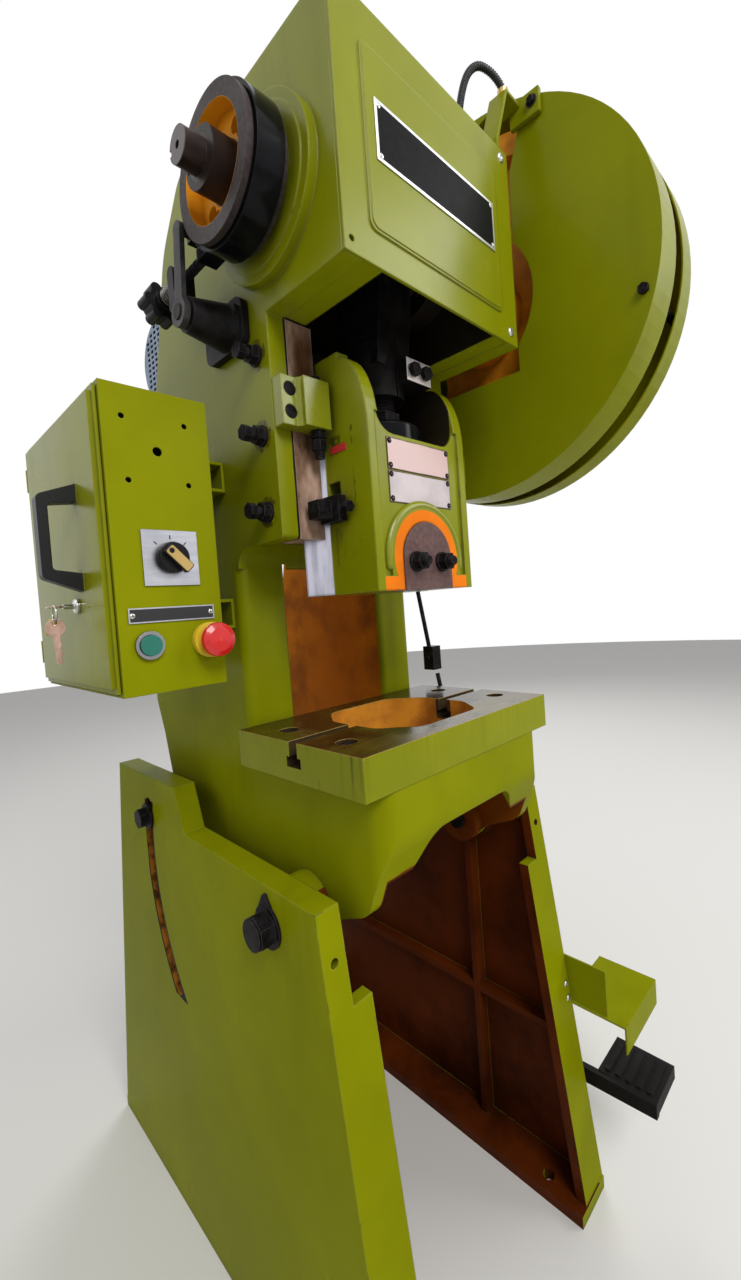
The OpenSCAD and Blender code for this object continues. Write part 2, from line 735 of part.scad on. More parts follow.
module brake_link() {
    x0 = -half_w - 68.5;
    top_y = 82;
    top_z = crank_h - 25;
    color(steel) press() difference() {
        union() {
            bar_x(17, x0 - 4, x0 + 4, brake_pin_y, brake_pin_z);
            bar_x(9, x0 - 3, x0 + 3, top_y, top_z);
            translate([x0, 0, 0]) along_x(6) polygon([[brake_pin_y - 9, brake_pin_z], [brake_pin_y + 9, brake_pin_z],
                [top_y + 8, top_z], [top_y - 8, top_z]]);
            bar_x(5, x0, band_x1 - 2, top_y, top_z);
        }
        bar_x(9 + fit, x0 - 10, x0 + 10, brake_pin_y, brake_pin_z);
    }
}
module brake_knob() {
    color(dark) press() {
        bar_y(5, 70 + gap, 200, stud_x, stud_z);
        translate([stud_x, 184, stud_z]) rotate([-90, 0, 0]) linear_extrude(26) {
            circle(r = 19);
            for (a = [0:60:300]) rotate(a) translate([18, 0]) circle(r = 7);
        }
        bar_y(13, 174, 185, stud_x, stud_z);
    }
}
module brake_spring() {
    turns = 5;
    y0 = 140 + gap + 2.2;
    y1 = 174 - gap - 2.2;
    color([0.35, 0.33, 0.3]) press() tube([for (i = [0:turns * 14]) [stud_x + 9 * cos(i * 360 / 14),
        y0 + (y1 - y0) * i / (turns * 14), stud_z + 9 * sin(i * 360 / 14)]], 1.9, 8, [0, 1, 0]);
}

// Connecting rod and ball screw

clamp_z = rod_bot + 32;
module connecting_rod() {
    color(dark) press() difference() {
        union() {
            bar_z(34, rod_bot, rod_bot + 70, 0, 0);
            along_x(strap_w) polygon([[-30, rod_bot + 40], [30, rod_bot + 40],
                [strap_r * 0.9, pin_z - 30], [-strap_r * 0.9, pin_z - 30]]);
            difference() {
                bar_x(strap_r + strap_rim, -strap_w / 2, strap_w / 2, 0, pin_z);
                slab(-strap_w, strap_w, -100, 100, pin_z - 0.2, pin_z + 100);
            }
            for (s = [-1, 1]) slab(-strap_w / 2 + 4, strap_w / 2 - 4, s * (strap_r + 14) - 14, s * (strap_r + 14) + 14,
                pin_z - 22, pin_z - 0.2);
            slab(2, 50, -52, -10, clamp_z - 15, clamp_z + 15);
        }
        bar_x(strap_r, -strap_w, strap_w, 0, pin_z);
        bar_z(screw_r + fit, rod_bot - 1, screw_top + 14, 0, 0);
        slab(-1.5, 1.5, -60, -screw_r + 2, rod_bot - 1, rod_bot + 80);
        for (s = [-1, 1]) bar_z(7, pin_z - 50, pin_z + 10, 0, s * (strap_r + 18));
        for (s = [0, 1]) bar_y(5, -60, -30, 14 + s * 23, clamp_z);
    }
}
module rod_cap() {
    color(dark) press() difference() {
        union() {
            difference() {
                bar_x(strap_r + strap_rim, -strap_w / 2, strap_w / 2, 0, pin_z);
                slab(-strap_w, strap_w, -100, 100, pin_z - 100, pin_z + 0.2);
            }
            for (s = [-1, 1]) slab(-strap_w / 2 + 4, strap_w / 2 - 4, s * (strap_r + 14) - 14, s * (strap_r + 14) + 14,
                pin_z + 0.2, pin_z + 22);
        }
        bar_x(strap_r, -strap_w, strap_w, 0, pin_z);
        for (s = [-1, 1]) bar_z(7, pin_z - 10, pin_z + 50, 0, s * (strap_r + 18));
    }
}
module rod_bolts() {
    color(steel) press() {
        for (s = [-1, 1]) {
            bar_z(6.8, pin_z - 24, pin_z + 24, 0, s * (strap_r + 18));
            hex_z(11, pin_z + 22, pin_z + 32, 0, s * (strap_r + 18));
            hex_z(11, pin_z - 32, pin_z - 22, 0, s * (strap_r + 18));
        }
        for (s = [0, 1]) {
            bar_y(4.8, -54, -30, 14 + s * 23, clamp_z);
            hex_y(9, -60, -52, 14 + s * 23, clamp_z);
        }
    }
}
module ball_screw() {
    color(steel) press() {
        translate([0, 0, ball_z]) sphere(r = ball_r);
        bar_z(17, ball_z + 15, nut_z0 + 1, 0, 0);
        hex_z(26, nut_z0, nut_z1, 0, 0);
        bar_z(screw_r, nut_z1 - 1, screw_top, 0, 0);
    }
}

// Slide and what it carries

slide_top = slide_bot + slide_h;
horn_top = slide_top + 99;
way_top = slide_top + 78;
slot_z0 = slide_bot + 93.4;
bar_h = 22;
clamp_axis = slide_bot + 40.4;
stud_dx = 25.5;
stud_h = slide_bot + 35.4;
module slide_plan() {
    polygon([[-slide_w / 2, -slide_front], [slide_w / 2, -slide_front], [slide_w / 2, way_v],
        [way_apex, way_v + way_d], [slide_w / 2, way_back], [-slide_w / 2, way_back],
        [-way_apex, way_v + way_d], [-slide_w / 2, way_v]]);
}
module clamp_2d(r) {
    translate([0, clamp_axis]) circle(r = r);
    translate([-r, slide_bot - 5]) square([2 * r, clamp_axis - slide_bot + 5]);
}
module slide() {
    color(green) press() difference() {
        union() {
            translate([0, 0, slide_bot]) linear_extrude(slide_h) slide_plan();
            difference() {
                translate([0, 0, slide_top - 1]) linear_extrude(way_top - slide_top + 1) slide_plan();
                slab(-slide_w / 2 - 30, slide_w / 2 + 30, -slide_front - 1, -10, slide_top, way_top + 1);
            }
            along_x(slide_w) polygon(concat([[way_back, slide_top - 1], [way_back, horn_top], [-22, horn_top]],
                [for (a = [0:10:90]) [-22 - 46 * sin(a), horn_top - 8 - 91 * (1 - cos(a))]], [[-slide_front, slide_top - 1]]));
        }
        // U-shaped space between the horns
        translate([0, way_back + 1, 0]) rotate([90, 0, 0]) linear_extrude(200) polygon(rounded([
            [-slide_w / 2 + 18, horn_top + 1, 0], [-slide_w / 2 + 18, slide_top - 4, 28],
            [slide_w / 2 - 18, slide_top - 4, 28], [slide_w / 2 - 18, horn_top + 1, 0]]));
        // sunk field between the two ribs of the face
        translate([0, -slide_front + 4, 0]) rotate([90, 0, 0]) linear_extrude(10) difference() {
            translate([-slide_w / 2 + 13, slide_bot + 18]) square([slide_w - 26, slide_h]);
            clamp_2d(clamp_r + 20);
        }
        // pocket of the shank clamp, shank hole and the push pin hole above it
        translate([0, 1, 0]) rotate([90, 0, 0]) linear_extrude(slide_front + 5) clamp_2d(clamp_r);
        bar_z(shank_r, slide_bot - 1, slide_bot + shank_len, 0, 0);
        bar_z(8, slide_bot + shank_len - 1, slot_z0 + 1, 0, 0);
        // slot of the knock-out bar
        slab(-slide_w, slide_w, -11, 11, slot_z0, slot_z0 + bar_h + knock_lift + 1);
        // ball seat
        translate([0, 0, ball_z]) sphere(r = ball_r + gap);
        bar_z(ball_r + gap, ball_z, slide_top + 5, 0, 0);
        for (s = [-1, 1]) bar_y(6.2, -20, 34, s * stud_dx, stud_h);
    }
}
module ball_seat_ring() {
    color(dark) press() difference() {
        union() {
            bar_z(ring_r, seat_z + 1 + gap, seat_z + ring_h, 0, 0);
            for (a = [30:60:330]) translate([38 * cos(a), 38 * sin(a), seat_z + ring_h - 1]) cylinder(r = 4.5, h = 5);
        }
        translate([0, 0, ball_z]) sphere(r = ball_r + gap);
        bar_z(20.5, seat_z - 5, seat_z + ring_h + 1, 0, 0);
    }
}
module shank_clamp() {
    color(dark) press() difference() {
        translate([0, -gap, 0]) rotate([90, 0, 0]) linear_extrude(slide_front + 1.5) intersection() {
            clamp_2d(clamp_r - gap);
            translate([-100, slide_bot]) square([200, 200]);
        }
        bar_z(shank_r, slide_bot - 1, slide_bot + shank_len, 0, 0);
        for (s = [-1, 1]) bar_y(6.2, -slide_front - 5, 5, s * stud_dx, stud_h);
        bar_z(8, slide_bot + shank_len - 1, slide_bot + 120, 0, 0);
    }
}
module clamp_studs() {
    y = -slide_front - 2;
    color(dark) press() for (s = [-1, 1]) {
        bar_y(6, y - 22, 32, s * stud_dx, stud_h);
        bar_y(13, y - 3, y, s * stud_dx, stud_h);
        hex_y(12, y - 15, y - 3, s * stud_dx, stud_h);
    }
}
module sign_plates() {
    y = -slide_front + 4;
    color([0.75, 0.75, 0.72]) press() for (z = [slide_top - 48, slide_top - 89]) {
        slab(-60, 60, y - 1.2, y, z, z + 39);
        for (sx = [-56, 56]) for (dz = [4, 35]) bar_y(2.2, y - 2.2, y - 1, sx, z + dz);
    }
}
module knockout_bar() {
    end_x = slide_w / 2 + 36;
    color(dark) press() {
        slab(-end_x, end_x, -10.5, 10.5, slot_z0 + gap, slot_z0 + gap + bar_h);
        both_sides() {
            slab(slide_w / 2 + 4, slide_w / 2 + 16, -24, 13, slot_z0 - 4, slot_z0 + bar_h + 6);
            bar_y(4, -34, -23, slide_w / 2 + 10, slot_z0 + 12);
            hex_y(7.5, -38, -33, slide_w / 2 + 10, slot_z0 + 12);
        }
        bar_z(7.5, slide_bot + shank_len + 4, slot_z0 + gap + 1, 0, 0);
    }
}

// Flywheel drive

module flywheel() {
    x1 = wheel_x + wheel_w;
    groove = belt_h + 1;
    color(primer) press() translate([wheel_x, 0, crank_h]) rotate([0, 90, 0]) difference() {
        rotate_extrude($fn = 128) difference() {
            union() {
                translate([wheel_r - 34, 0]) square([34, wheel_w]);
                translate([60, wheel_w / 2 - 11]) square([wheel_r - 80, 22]);
                translate([pin_r + 7 + fit, -6]) square([36, wheel_w + 14]);
            }
            for (i = [0:belt_count - 1]) translate([wheel_r, belt_x - wheel_x + (i - 1) * belt_step]) {
                polygon([[1, -6.8], [1, 6.8], [-groove, 5.4], [-groove, -5.4]]);
            }
        }
        for (a = [0:60:300]) rotate(a) translate([155, 0, -1]) cylinder(r = 42, h = wheel_w + 2);
    }
}
module flywheel_bush() {
    color(bronze) press() difference() {
        bar_x(pin_r + 7, wheel_x - 5, wheel_x + wheel_w + 7, 0, crank_h);
        bar_x(pin_r + fit, wheel_x - 6, wheel_x + wheel_w + 8, 0, crank_h);
    }
}
// Outline of a loop around both pulleys, with radii a and b at the grooves
function loop_points(a, b) =
    let (d = [motor_y, motor_z - crank_h], len0 = norm(d), dir = atan2(d[1], d[0]), wrap = acos((a - b) / len0))
    let (ka = 1 / cos((360 - 2 * wrap) / 96), kb = 1 / cos(2 * wrap / 32))
    concat([for (i = [0:48]) let (t = dir + wrap + (360 - 2 * wrap) * i / 48) [0, crank_h] + a * ka * [cos(t), sin(t)]],
        [for (i = [0:16]) let (t = dir - wrap + 2 * wrap * i / 16) [motor_y, motor_z] + b * kb * [cos(t), sin(t)]]);
module drive_belts() {
    a = wheel_r - belt_h - 1 + gap;
    b = pulley_r + gap;
    color([0.08, 0.08, 0.08]) press() for (i = [0:belt_count - 1]) {
        translate([belt_x + (i - 1) * belt_step, 0, 0]) along_x(belt_w) difference() {
            polygon(loop_points(a + belt_h, b + belt_h));
            polygon(loop_points(a, b));
        }
    }
}
module motor_pulley() {
    color(steel) press() translate([0, motor_y, motor_z]) rotate([0, 90, 0]) {
        translate([0, 0, belt_x - 27]) difference() {
            rotate_extrude() difference() {
                translate([12 + fit, 0]) square([pulley_r + 10 - 12, 54]);
                for (i = [0:belt_count - 1]) translate([pulley_r, 27 + (i - 1) * belt_step]) {
                    polygon([[11, -6.8], [11, 6.8], [0, 5.4], [0, -5.4]]);
                }
            }
        }
        translate([0, 0, motor_x1 + 1]) cylinder(r = 12, h = belt_x + 30 - motor_x1);
        translate([0, 0, belt_x + 27.5]) cylinder(r = 18, h = 4);
    }
}
module motor() {
    fin_count = 28;
    foot_z = motor_z - 90;
    color([0.50, 0.58, 0.66]) press() difference() {
        union() {
            bar_x(motor_r, motor_x0 + 20, motor_x1 - 20, motor_y, motor_z);
            translate([motor_x0 + 24, motor_y, motor_z]) rotate([0, 90, 0]) for (i = [0:fin_count - 1]) {
                rotate(i * 360 / fin_count) translate([motor_r - 2, -1.5, 0]) cube([8, 3, motor_x1 - motor_x0 - 50]);
            }
            bar_x(motor_r + 7.4 - gap, motor_x0 + 12, motor_x0 + 24, motor_y, motor_z);
            bar_x(motor_r + 6, motor_x1 - 30, motor_x1 - 8, motor_y, motor_z);
            bar_x(26, motor_x1 - 10, motor_x1, motor_y, motor_z);
            slab(motor_x0 + 60, motor_x1 - 60, motor_y - 42, motor_y + 42, motor_z + motor_r - 8, motor_z + motor_r + 34);
            for (s = [-1, 1]) {
                slab(motor_x0 + 40, motor_x1 - 50, motor_y + s * 65 - 20, motor_y + s * 65 + 20, foot_z, foot_z + 10);
                slab(motor_x0 + 46, motor_x1 - 56, motor_y + s * 52 - 6, motor_y + s * 52 + 6, foot_z + 5, motor_z - 55);
            }
        }
        for (x = [motor_x0 + 54, motor_x1 - 64]) for (s = [-1, 1]) {
            bar_z(5, foot_z - 1, foot_z + 11, x, motor_y + s * 74);
        }
    }
}
module fan_cover() {
    r = motor_r + 9;
    x0 = motor_x0 - 30;
    color([0.50, 0.58, 0.66]) press() difference() {
        union() {
            translate([x0, motor_y, motor_z]) rotate([0, 90, 0]) rotate_extrude() difference() {
                polygon([[0, 0], [r - 14, 0], [r - 5, 4], [r, 14], [r, 44], [0, 44]]);
                polygon([[-1, 1.6], [r - 14.5, 1.6], [r - 6, 5.2], [r - 1.6, 14.4], [r - 1.6, 45], [-1, 45]]);
            }
        }
        for (i = [-6:6]) for (k = [-3:3]) if (norm([i * 10.5, k * 17]) < r - 20) {
            slab(x0 - 1, x0 + 3, motor_y + k * 17 - 6, motor_y + k * 17 + 6, motor_z + i * 10.5 - 3, motor_z + i * 10.5 + 3);
        }
    }
}
module motor_plate() {
    z1 = motor_z - 90;
    color(green) press() difference() {
        union() {
            slab(-half_gap + 2, motor_x1 - 20, ear_y + 20, motor_y + 96, z1 - 12, z1 - gap);
            bar_x(16, -half_gap + 2, half_gap - 2, ear_y, ear_z);
            slab(-half_gap + 2, half_gap - 2, ear_y, ear_y + 28, ear_z - 12, z1 - gap);
            for (x = [-70, 60]) translate([x, 0, 0]) along_x(10) polygon([[ear_y, ear_z - 12], [ear_y + 22, ear_z - 3],
                [motor_y + 80, z1 - 11], [motor_y + 80, z1 - 22], [ear_y + 28, ear_z - 44], [ear_y, ear_z - 19]]);
            both_sides() bar_x(8, half_gap - 4, half_gap + 24, ear_y, ear_z);
        }
        for (x = [motor_x0 + 54, motor_x1 - 64]) for (s = [-1, 1]) {
            bar_z(5, z1 - 20, z1 + 11, x, motor_y + s * 74);
        }
    }
    color(dark) press() for (x = [motor_x0 + 54, motor_x1 - 64]) for (s = [-1, 1]) {
        bar_z(4.8, z1 - 20, z1 + 12, x, motor_y + s * 74);
        hex_z(9, z1 + 10 + gap, z1 + 18, x, motor_y + s * 74);
        hex_z(9, z1 - 20, z1 - 12 - gap, x, motor_y + s * 74);
    }
}

// Flywheel guard

guard_tail = 78;
function guard_points(cut) =
    let (a = guard_r - cut, b = guard_tail - cut, d = [motor_y, motor_z - crank_h])
    let (dir = atan2(d[1], d[0]), wrap = acos((a - b) / norm(d)))
    concat([for (i = [0:60]) let (t = dir + wrap + (360 - 2 * wrap) * i / 60) [0, crank_h] + a * [cos(t), sin(t)]],
        [for (i = [0:20]) let (t = dir - wrap + 2 * wrap * i / 20) [motor_y, motor_z] + b * [cos(t), sin(t)]]);
stay_ring = (wheel_r + guard_r) / 2;
stay_places = concat(
    [for (a = [75, 196, 300]) [stay_ring * cos(a), crank_h + stay_ring * sin(a)]],
    [for (a = [-45, 45]) [motor_y + 62 * cos(a), motor_z + 62 * sin(a)]]);
module guard_shell(x0, x1, face_at_start) {
    difference() {
        translate([(x0 + x1) / 2, 0, 0]) along_x(x1 - x0) polygon(guard_points(0));
        translate([(x0 + x1) / 2 + (face_at_start ? guard_t : -guard_t), 0, 0]) {
            along_x(x1 - x0) polygon(guard_points(guard_t));
        }
    }
}
module guard_inner() {
    color(green) press() difference() {
        guard_shell(guard_x, guard_gap0, true);
        translate([guard_x, 0, 0]) along_x(10) {
            translate([0, crank_h]) circle(r = 118);
            polygon([[-122, crank_h + 276], [-89, crank_h + 184], [-87, crank_h - 121], [160, crank_h - 121],
                [160, crank_h + 240], [-60, crank_h + 296]]);
            translate([motor_y, motor_z]) circle(r = 34);
        }
        for (p = stay_places) bar_x(4.2, guard_x - 5, guard_x + 10, p[0], p[1]);
    }
}
module guard_outer() {
    color(green) press() difference() {
        guard_shell(guard_gap1, guard_x1, false);
        for (p = stay_places) bar_x(4.2, guard_x1 - 10, guard_x1 + 5, p[0], p[1]);
    }
}
module guard_stays() {
    color(dark) press() for (p = stay_places) {
        bar_x(4, guard_x - 4, guard_x1 + 4, p[0], p[1]);
        bar_x(6, guard_x + guard_t + fit, guard_x1 - guard_t - fit, p[0], p[1]);
        hex_x(7.5, guard_x - 6, guard_x - fit, p[0], p[1]);
        hex_x(7.5, guard_x1 + fit, guard_x1 + 6, p[0], p[1]);
    }
}
module guard_bracket() {
    color(green) press() difference() {
        union() {
            // upper arm from the head to the guard face
            slab(half_w + gap, half_w + 8, arm_v - 15, arm_v + 15, head_top - 60, arm_top);
            slab(half_w + gap, guard_x - gap, arm_v - 15, arm_v + 15, arm_top - 8, arm_top);
            slab(guard_x - 8, guard_x - gap, arm_v - 47, arm_v + 3, arm_top - 30, arm_top);
            // lower arm from the cheek to the guard face
            slab(half_w + gap, guard_x - gap, 60, 68, 370, 400);
            slab(half_w + gap, half_w + 8, 40, 110, 370, 400);
            slab(guard_x - 8, guard_x - gap, 30, 110, 352, 400);
        }
        bar_x(6, half_w - 5, half_w + 20, arm_v, head_top - 44);
        bar_x(6, guard_x - 20, guard_x + 5, arm_v - 35, arm_top - 16);
    }
}
arm_v = -103;
arm_top = crank_h + 275;
gland_x = half_w + 42;
conduit_path = [[120, 60, head_top + 2], [120, 58, head_top + 50], [132, 38, head_top + 120], [158, -8, head_top + 165],
    [182, -52, head_top + 172], [198, -92, arm_top + 31], [gland_x, arm_v, arm_top + 9]];
module conduit() {
    color(dark) press() {
        tube(smooth_path(conduit_path, 5), 5.5, 10, [0.3, 1, 0.2]);
        bar_z(9, head_top + gap, head_top + 12, 120, 60);
        bar_z(9, arm_top + gap, arm_top + 12, gland_x, arm_v);
    }
}

// Clutch lever, pull rods and pedal

module clutch_lever() {
    x0 = half_w + 42;
    color(dark) press() difference() {
        union() {
            bar_x(18, x0, x0 + 16, lever_y, lever_z);
            translate([x0 + 6, 0, 0]) along_x(12) polygon([[lever_y - 16, lever_z + 6], [lever_y + 6, lever_z + 17],
                [62, crank_h - 52], [50, crank_h - 47], [44, crank_h - 56]]);
            translate([x0 + 8, lever_y, lever_z]) rotate([lever_rest, 0, 0]) along_x(10) polygon([[0, -16],
                [0, 16], [lever_arm, 9], [lever_arm + 8, 0], [lever_arm, -9]]);
            bar_x(4.5, x0 + 8, x0 + 26, lever_pin_y, lever_pin_z);
        }
        bar_x(10 + fit, x0 - 5, x0 + 30, lever_y, lever_z);
    }
}
module upper_rod() {
    x = half_w + 63;
    top = [x, lever_pin_y + 0.5, lever_pin_z];
    low = [x, block_y + 6, block_z + 20];
    color(dark) press() difference() {
        union() {
            tube([low, top - [0, 2, 9]], 4, 16);
            bar_x(10, x - 4, x + 3, top[1], top[2]);
            slab(x - 11, x + 11, block_y - 12, block_y + 12, block_z - 22, block_z + 22);
            bar_x(4, x - 15, x + 15, block_y, block_z);
        }
        bar_x(5.4, x - 6, x + 6, top[1], top[2]);
    }
}
module lower_rod() {
    top = [rod_x, block_y - 7, block_z - 30];
    low = [rod_x, eye_y, eye_z];
    color(dark) press() difference() {
        union() {
            tube([low + [0, 2, 9], top], 4, 16);
            bar_x(10, rod_x - 4, rod_x + 3.5, eye_y, eye_z);
        }
        bar_x(5.5, rod_x - 6, rod_x + 6, eye_y, eye_z);
    }
}
module foot_pedal() {
    x0 = leg_x + 13;
    color(dark) press() difference() {
        union() {
            bar_x(18, x0, x0 + 14, pedal_y, pedal_z);
            translate([x0 + 5, 0, 0]) along_x(10) polygon([[pedal_y, pedal_z - 14], [pedal_y, pedal_z + 14],
                [-140, tread_z - 2], [-236, tread_z + 2], [-236, tread_z - 20], [-140, tread_z - 26]]);
            slab(x0 + 8, x0 + 88, -235, -145, tread_z - 20, tread_z);
            for (y = [-225:16:-160]) slab(x0 + 14, x0 + 82, y, y + 8, tread_z - 1, tread_z + 3);
            bar_x(5, rod_x - 4, x0 + 2, eye_y, eye_z);
        }
        bar_x(10 + fit, x0 - 5, x0 + 30, pedal_y, pedal_z);
    }
}
hood_t = 2.5;
hood_w = 118;
module pedal_hood() {
    x0 = hood_x;
    color(green) press() {
        // pivot stud of the pedal, screwed into the leg
        bar_x(10, leg_x + gap, leg_x + 32, pedal_y, pedal_z);
        bar_x(16, leg_x + gap, leg_x + 12, pedal_y, pedal_z);
        hex_x(15, leg_x + 28, leg_x + 38, pedal_y, pedal_z);
        // folded hood above the pedal, with its mounting flange on the leg
        slab(leg_x + gap, leg_x + gap + hood_t, -175, -90, hood_z + 4, hood_z + 74);
        slab(leg_x + gap, x0 + hood_w, -203, -108, hood_z - hood_t, hood_z);
        slab(leg_x + gap, x0 + hood_w, -203, -203 + hood_t, hood_z - 41, hood_z);
        slab(x0 + hood_w - hood_t, x0 + hood_w, -203, -108, hood_z - 41, hood_z);
    }
}

// Control box

handle_y = box_y + 78;
handle_w = 16;
handle_low = box_z + 115;
handle_high = box_z + 233;
handle_out = 38;
// Pull handle seen from the front: two wedge feet and a bar between them
module handle_2d() {
    difference() {
        polygon(rounded([[0, handle_low, 0], [0, handle_high, 0], [-handle_out, handle_high - 15, 7],
            [-handle_out, handle_low + 15, 7]]));
        polygon(rounded([[1, handle_low + 20, 0], [1, handle_high - 20, 0], [-handle_out + 10, handle_high - 24, 4],
            [-handle_out + 10, handle_low + 24, 4]]));
    }
}
module box_shell() {
    x0 = box_x - box_w;
    difference() {
        slab(x0, box_x, box_y, box_y + box_d, box_z, box_z + box_h);
        slab(x0 - 1, box_x - box_t, box_y + box_t, box_y + box_d - box_t, box_z + box_t, box_z + box_h - box_t);
    }
}
panel_holes = [[-93, 292, 3], [-27, 293, 3], [-59, 260, 5], [-91, 226, 3], [-27, 227, 3]];
module control_box() {
    x0 = box_x - box_w;
    color(green) press() difference() {
        union() {
            box_shell();
            for (z = [box_z + 60, box_z + box_h - 80]) {
                slab(box_x - 1, -half_w - gap, throat_d + 20, box_y + 165, z, z + 4);
                slab(box_x - 1, -half_w - gap, throat_d + 20, box_y + 165, z + 36, z + 40);
                slab(-half_w - 4, -half_w - gap, throat_d + 20, box_y + 165, z, z + 40);
            }
            // lips that carry the door
            slab(x0, x0 + 2, box_y, box_y + 12, box_z, box_z + box_h);
            slab(x0, x0 + 2, box_y + box_d - 12, box_y + box_d, box_z, box_z + box_h);
        }
        for (p = panel_holes) bar_y(p[2], box_y - 1, box_y + 5, box_x + p[0], box_z + p[1]);
        for (x = [start_x, stop_btn_x]) bar_y(button_r + gap, box_y - 1, box_y + 5, x, start_z);
        bar_y(5 + fit, box_y - 1, box_y + 5, select_x, select_z);
    }
}
button_r = 11;
start_x = box_x - 84;
stop_btn_x = box_x - 18;
start_z = box_z + 52;
select_x = box_x - 54;
select_z = box_z + 145;
module box_door() {
    x0 = box_x - box_w;
    y1 = box_y + box_d - 7;
    color(green) press() difference() {
        union() {
            slab(x0 - 4, x0 - 1, box_y + 5, y1, box_z + 4, box_z + box_h - 4);
            slab(x0 - 8, x0 - 3.9, box_y + 11, y1 - 6, box_z + 10, box_z + box_h - 10);
            bar_z(3.5, box_z + 30, box_z + 60, x0 - 4.2, y1 + 3);
            bar_z(3.5, box_z + box_h - 60, box_z + box_h - 30, x0 - 4.2, y1 + 3);
        }
        slab(x0 - 6, x0, box_y + 13, y1 - 8, box_z + 12, box_z + box_h - 12);
        bar_x(7 + fit, x0 - 12, x0 + 1, handle_y + 18, box_z + 100);
    }
    color(dark) press() {
        translate([x0 - 8, handle_y + handle_w / 2, 0]) rotate([90, 0, 0]) linear_extrude(handle_w) handle_2d();
    }
}
module door_key() {
    x0 = box_x - box_w;
    y = handle_y + 18;
    z = box_z + 100;
    color(steel) press() {
        bar_x(7, x0 - 16, x0 + 6, y, z);
        slab(x0 - 34, x0 - 15, y - 1, y + 1, z - 4, z + 4);
        translate([x0 - 40, y, z]) rotate([90, 0, 0]) cylinder(r = 10, h = 2.4, center = true);
        slab(x0 + 4, x0 + 6, y - 5, y + 5, z - 26, z + 5);
    }
}
module panel_plates() {
    y = box_y - gap;
    color(steel) press() {
        difference() {
            slab(select_x - 30, select_x + 30, y - 1.5, y, select_z - 30, select_z + 30);
            bar_y(5 + fit, y - 3, y + 1, select_x, select_z);
        }
        slab(box_x - 103, box_x - 10, y - 1.2, y, box_z + 76, box_z + 92);
        for (x = [box_x - 99, box_x - 14]) bar_y(2, y - 2, y - 1, x, box_z + 84);
        difference() {
            bar_y(15, y - 4, y, start_x, start_z);
            bar_y(button_r + gap, y - 6, y + 1, start_x, start_z);
        }
        difference() {
            bar_y(20, y - 8, y, stop_btn_x, start_z);
            bar_y(button_r + gap, y - 9, y + 1, stop_btn_x, start_z);
        }
    }
}
module selector_knob() {
    y = box_y - gap - 1.5 - gap;
    color(dark) press() {
        bar_y(15, y - 12, y, select_x, select_z);
        bar_y(5, y - 2, box_y + 12, select_x, select_z);
        translate([select_x, 0, select_z]) rotate([0, -35, 0]) slab(-6, 22, y - 22, y - 11, -6, 6);
    }
}
module start_button() {
    y = box_y - gap;
    color([0.1, 0.5, 0.4]) press() {
        bar_y(button_r, y - 7, box_y + 16, start_x, start_z);
    }
}
module stop_button() {
    y = box_y - gap;
    color([0.8, 0.08, 0.08]) press() {
        translate([stop_btn_x, y - 15, start_z]) rotate([90, 0, 0]) rotate_extrude() polygon([[0, 0], [12, 0],
            [18, 3], [19.5, 7], [18.5, 11], [13, 14], [0, 15]]);
        bar_y(button_r, y - 16, box_y + 16, stop_btn_x, start_z);
    }
}

left_leg();
right_leg();
tie_rods();
pivot_bolts();
lock_bolts();
press_frame();
bolster_plate();
bolster_screws();
head_cover();
cover_screws();
nameplate();
left_gib();
right_gib();
gib_screws();
knockout_brackets();
stop_screws();
main_bearings();
crankshaft();
clutch_collar();
brake_drum();
brake_band();
brake_bracket();
brake_link();
brake_knob();
brake_spring();
connecting_rod();
rod_cap();
rod_bolts();
ball_screw();
slide();
ball_seat_ring();
shank_clamp();
clamp_studs();
sign_plates();
knockout_bar();
flywheel();
flywheel_bush();
shaft_end_plate();
drive_belts();
motor_pulley();
motor();
fan_cover();
motor_plate();
guard_inner();
guard_outer();
guard_stays();
guard_bracket();
conduit();
clutch_lever();
upper_rod();
lower_rod();
foot_pedal();
pedal_hood();
control_box();
box_door();
door_key();
panel_plates();
selector_knob();
start_button();
stop_button();
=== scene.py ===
import bpy
import bmesh
import math
from mathutils import Matrix, Vector


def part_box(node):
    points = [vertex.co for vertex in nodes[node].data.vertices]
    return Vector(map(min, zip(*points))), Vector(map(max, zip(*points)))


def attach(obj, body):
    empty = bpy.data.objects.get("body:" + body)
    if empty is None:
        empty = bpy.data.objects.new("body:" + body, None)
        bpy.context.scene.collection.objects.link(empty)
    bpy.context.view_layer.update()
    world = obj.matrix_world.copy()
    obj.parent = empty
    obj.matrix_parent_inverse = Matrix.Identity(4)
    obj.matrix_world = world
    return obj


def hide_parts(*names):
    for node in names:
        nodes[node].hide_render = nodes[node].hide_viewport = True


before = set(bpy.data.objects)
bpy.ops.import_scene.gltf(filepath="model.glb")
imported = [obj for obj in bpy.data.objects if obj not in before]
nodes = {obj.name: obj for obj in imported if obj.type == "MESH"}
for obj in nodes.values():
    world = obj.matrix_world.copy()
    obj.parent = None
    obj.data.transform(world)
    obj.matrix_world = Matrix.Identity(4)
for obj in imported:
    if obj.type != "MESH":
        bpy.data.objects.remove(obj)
scene = bpy.context.scene
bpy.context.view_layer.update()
print("frame loaded with", len(nodes), "CAD nodes")

# press coordinates in mm: x from the middle, v back from the middle of the bolster, z up from its top
bolsterLow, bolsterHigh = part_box("bolster_plate")
pressOrigin = Vector((0, (bolsterLow.y + bolsterHigh.y) / 2, bolsterHigh.z))


def press(x, v, z):
    return pressOrigin + Vector((x, v, z)) / 1000


def pressAll(points):
    return [press(*point) for point in points]


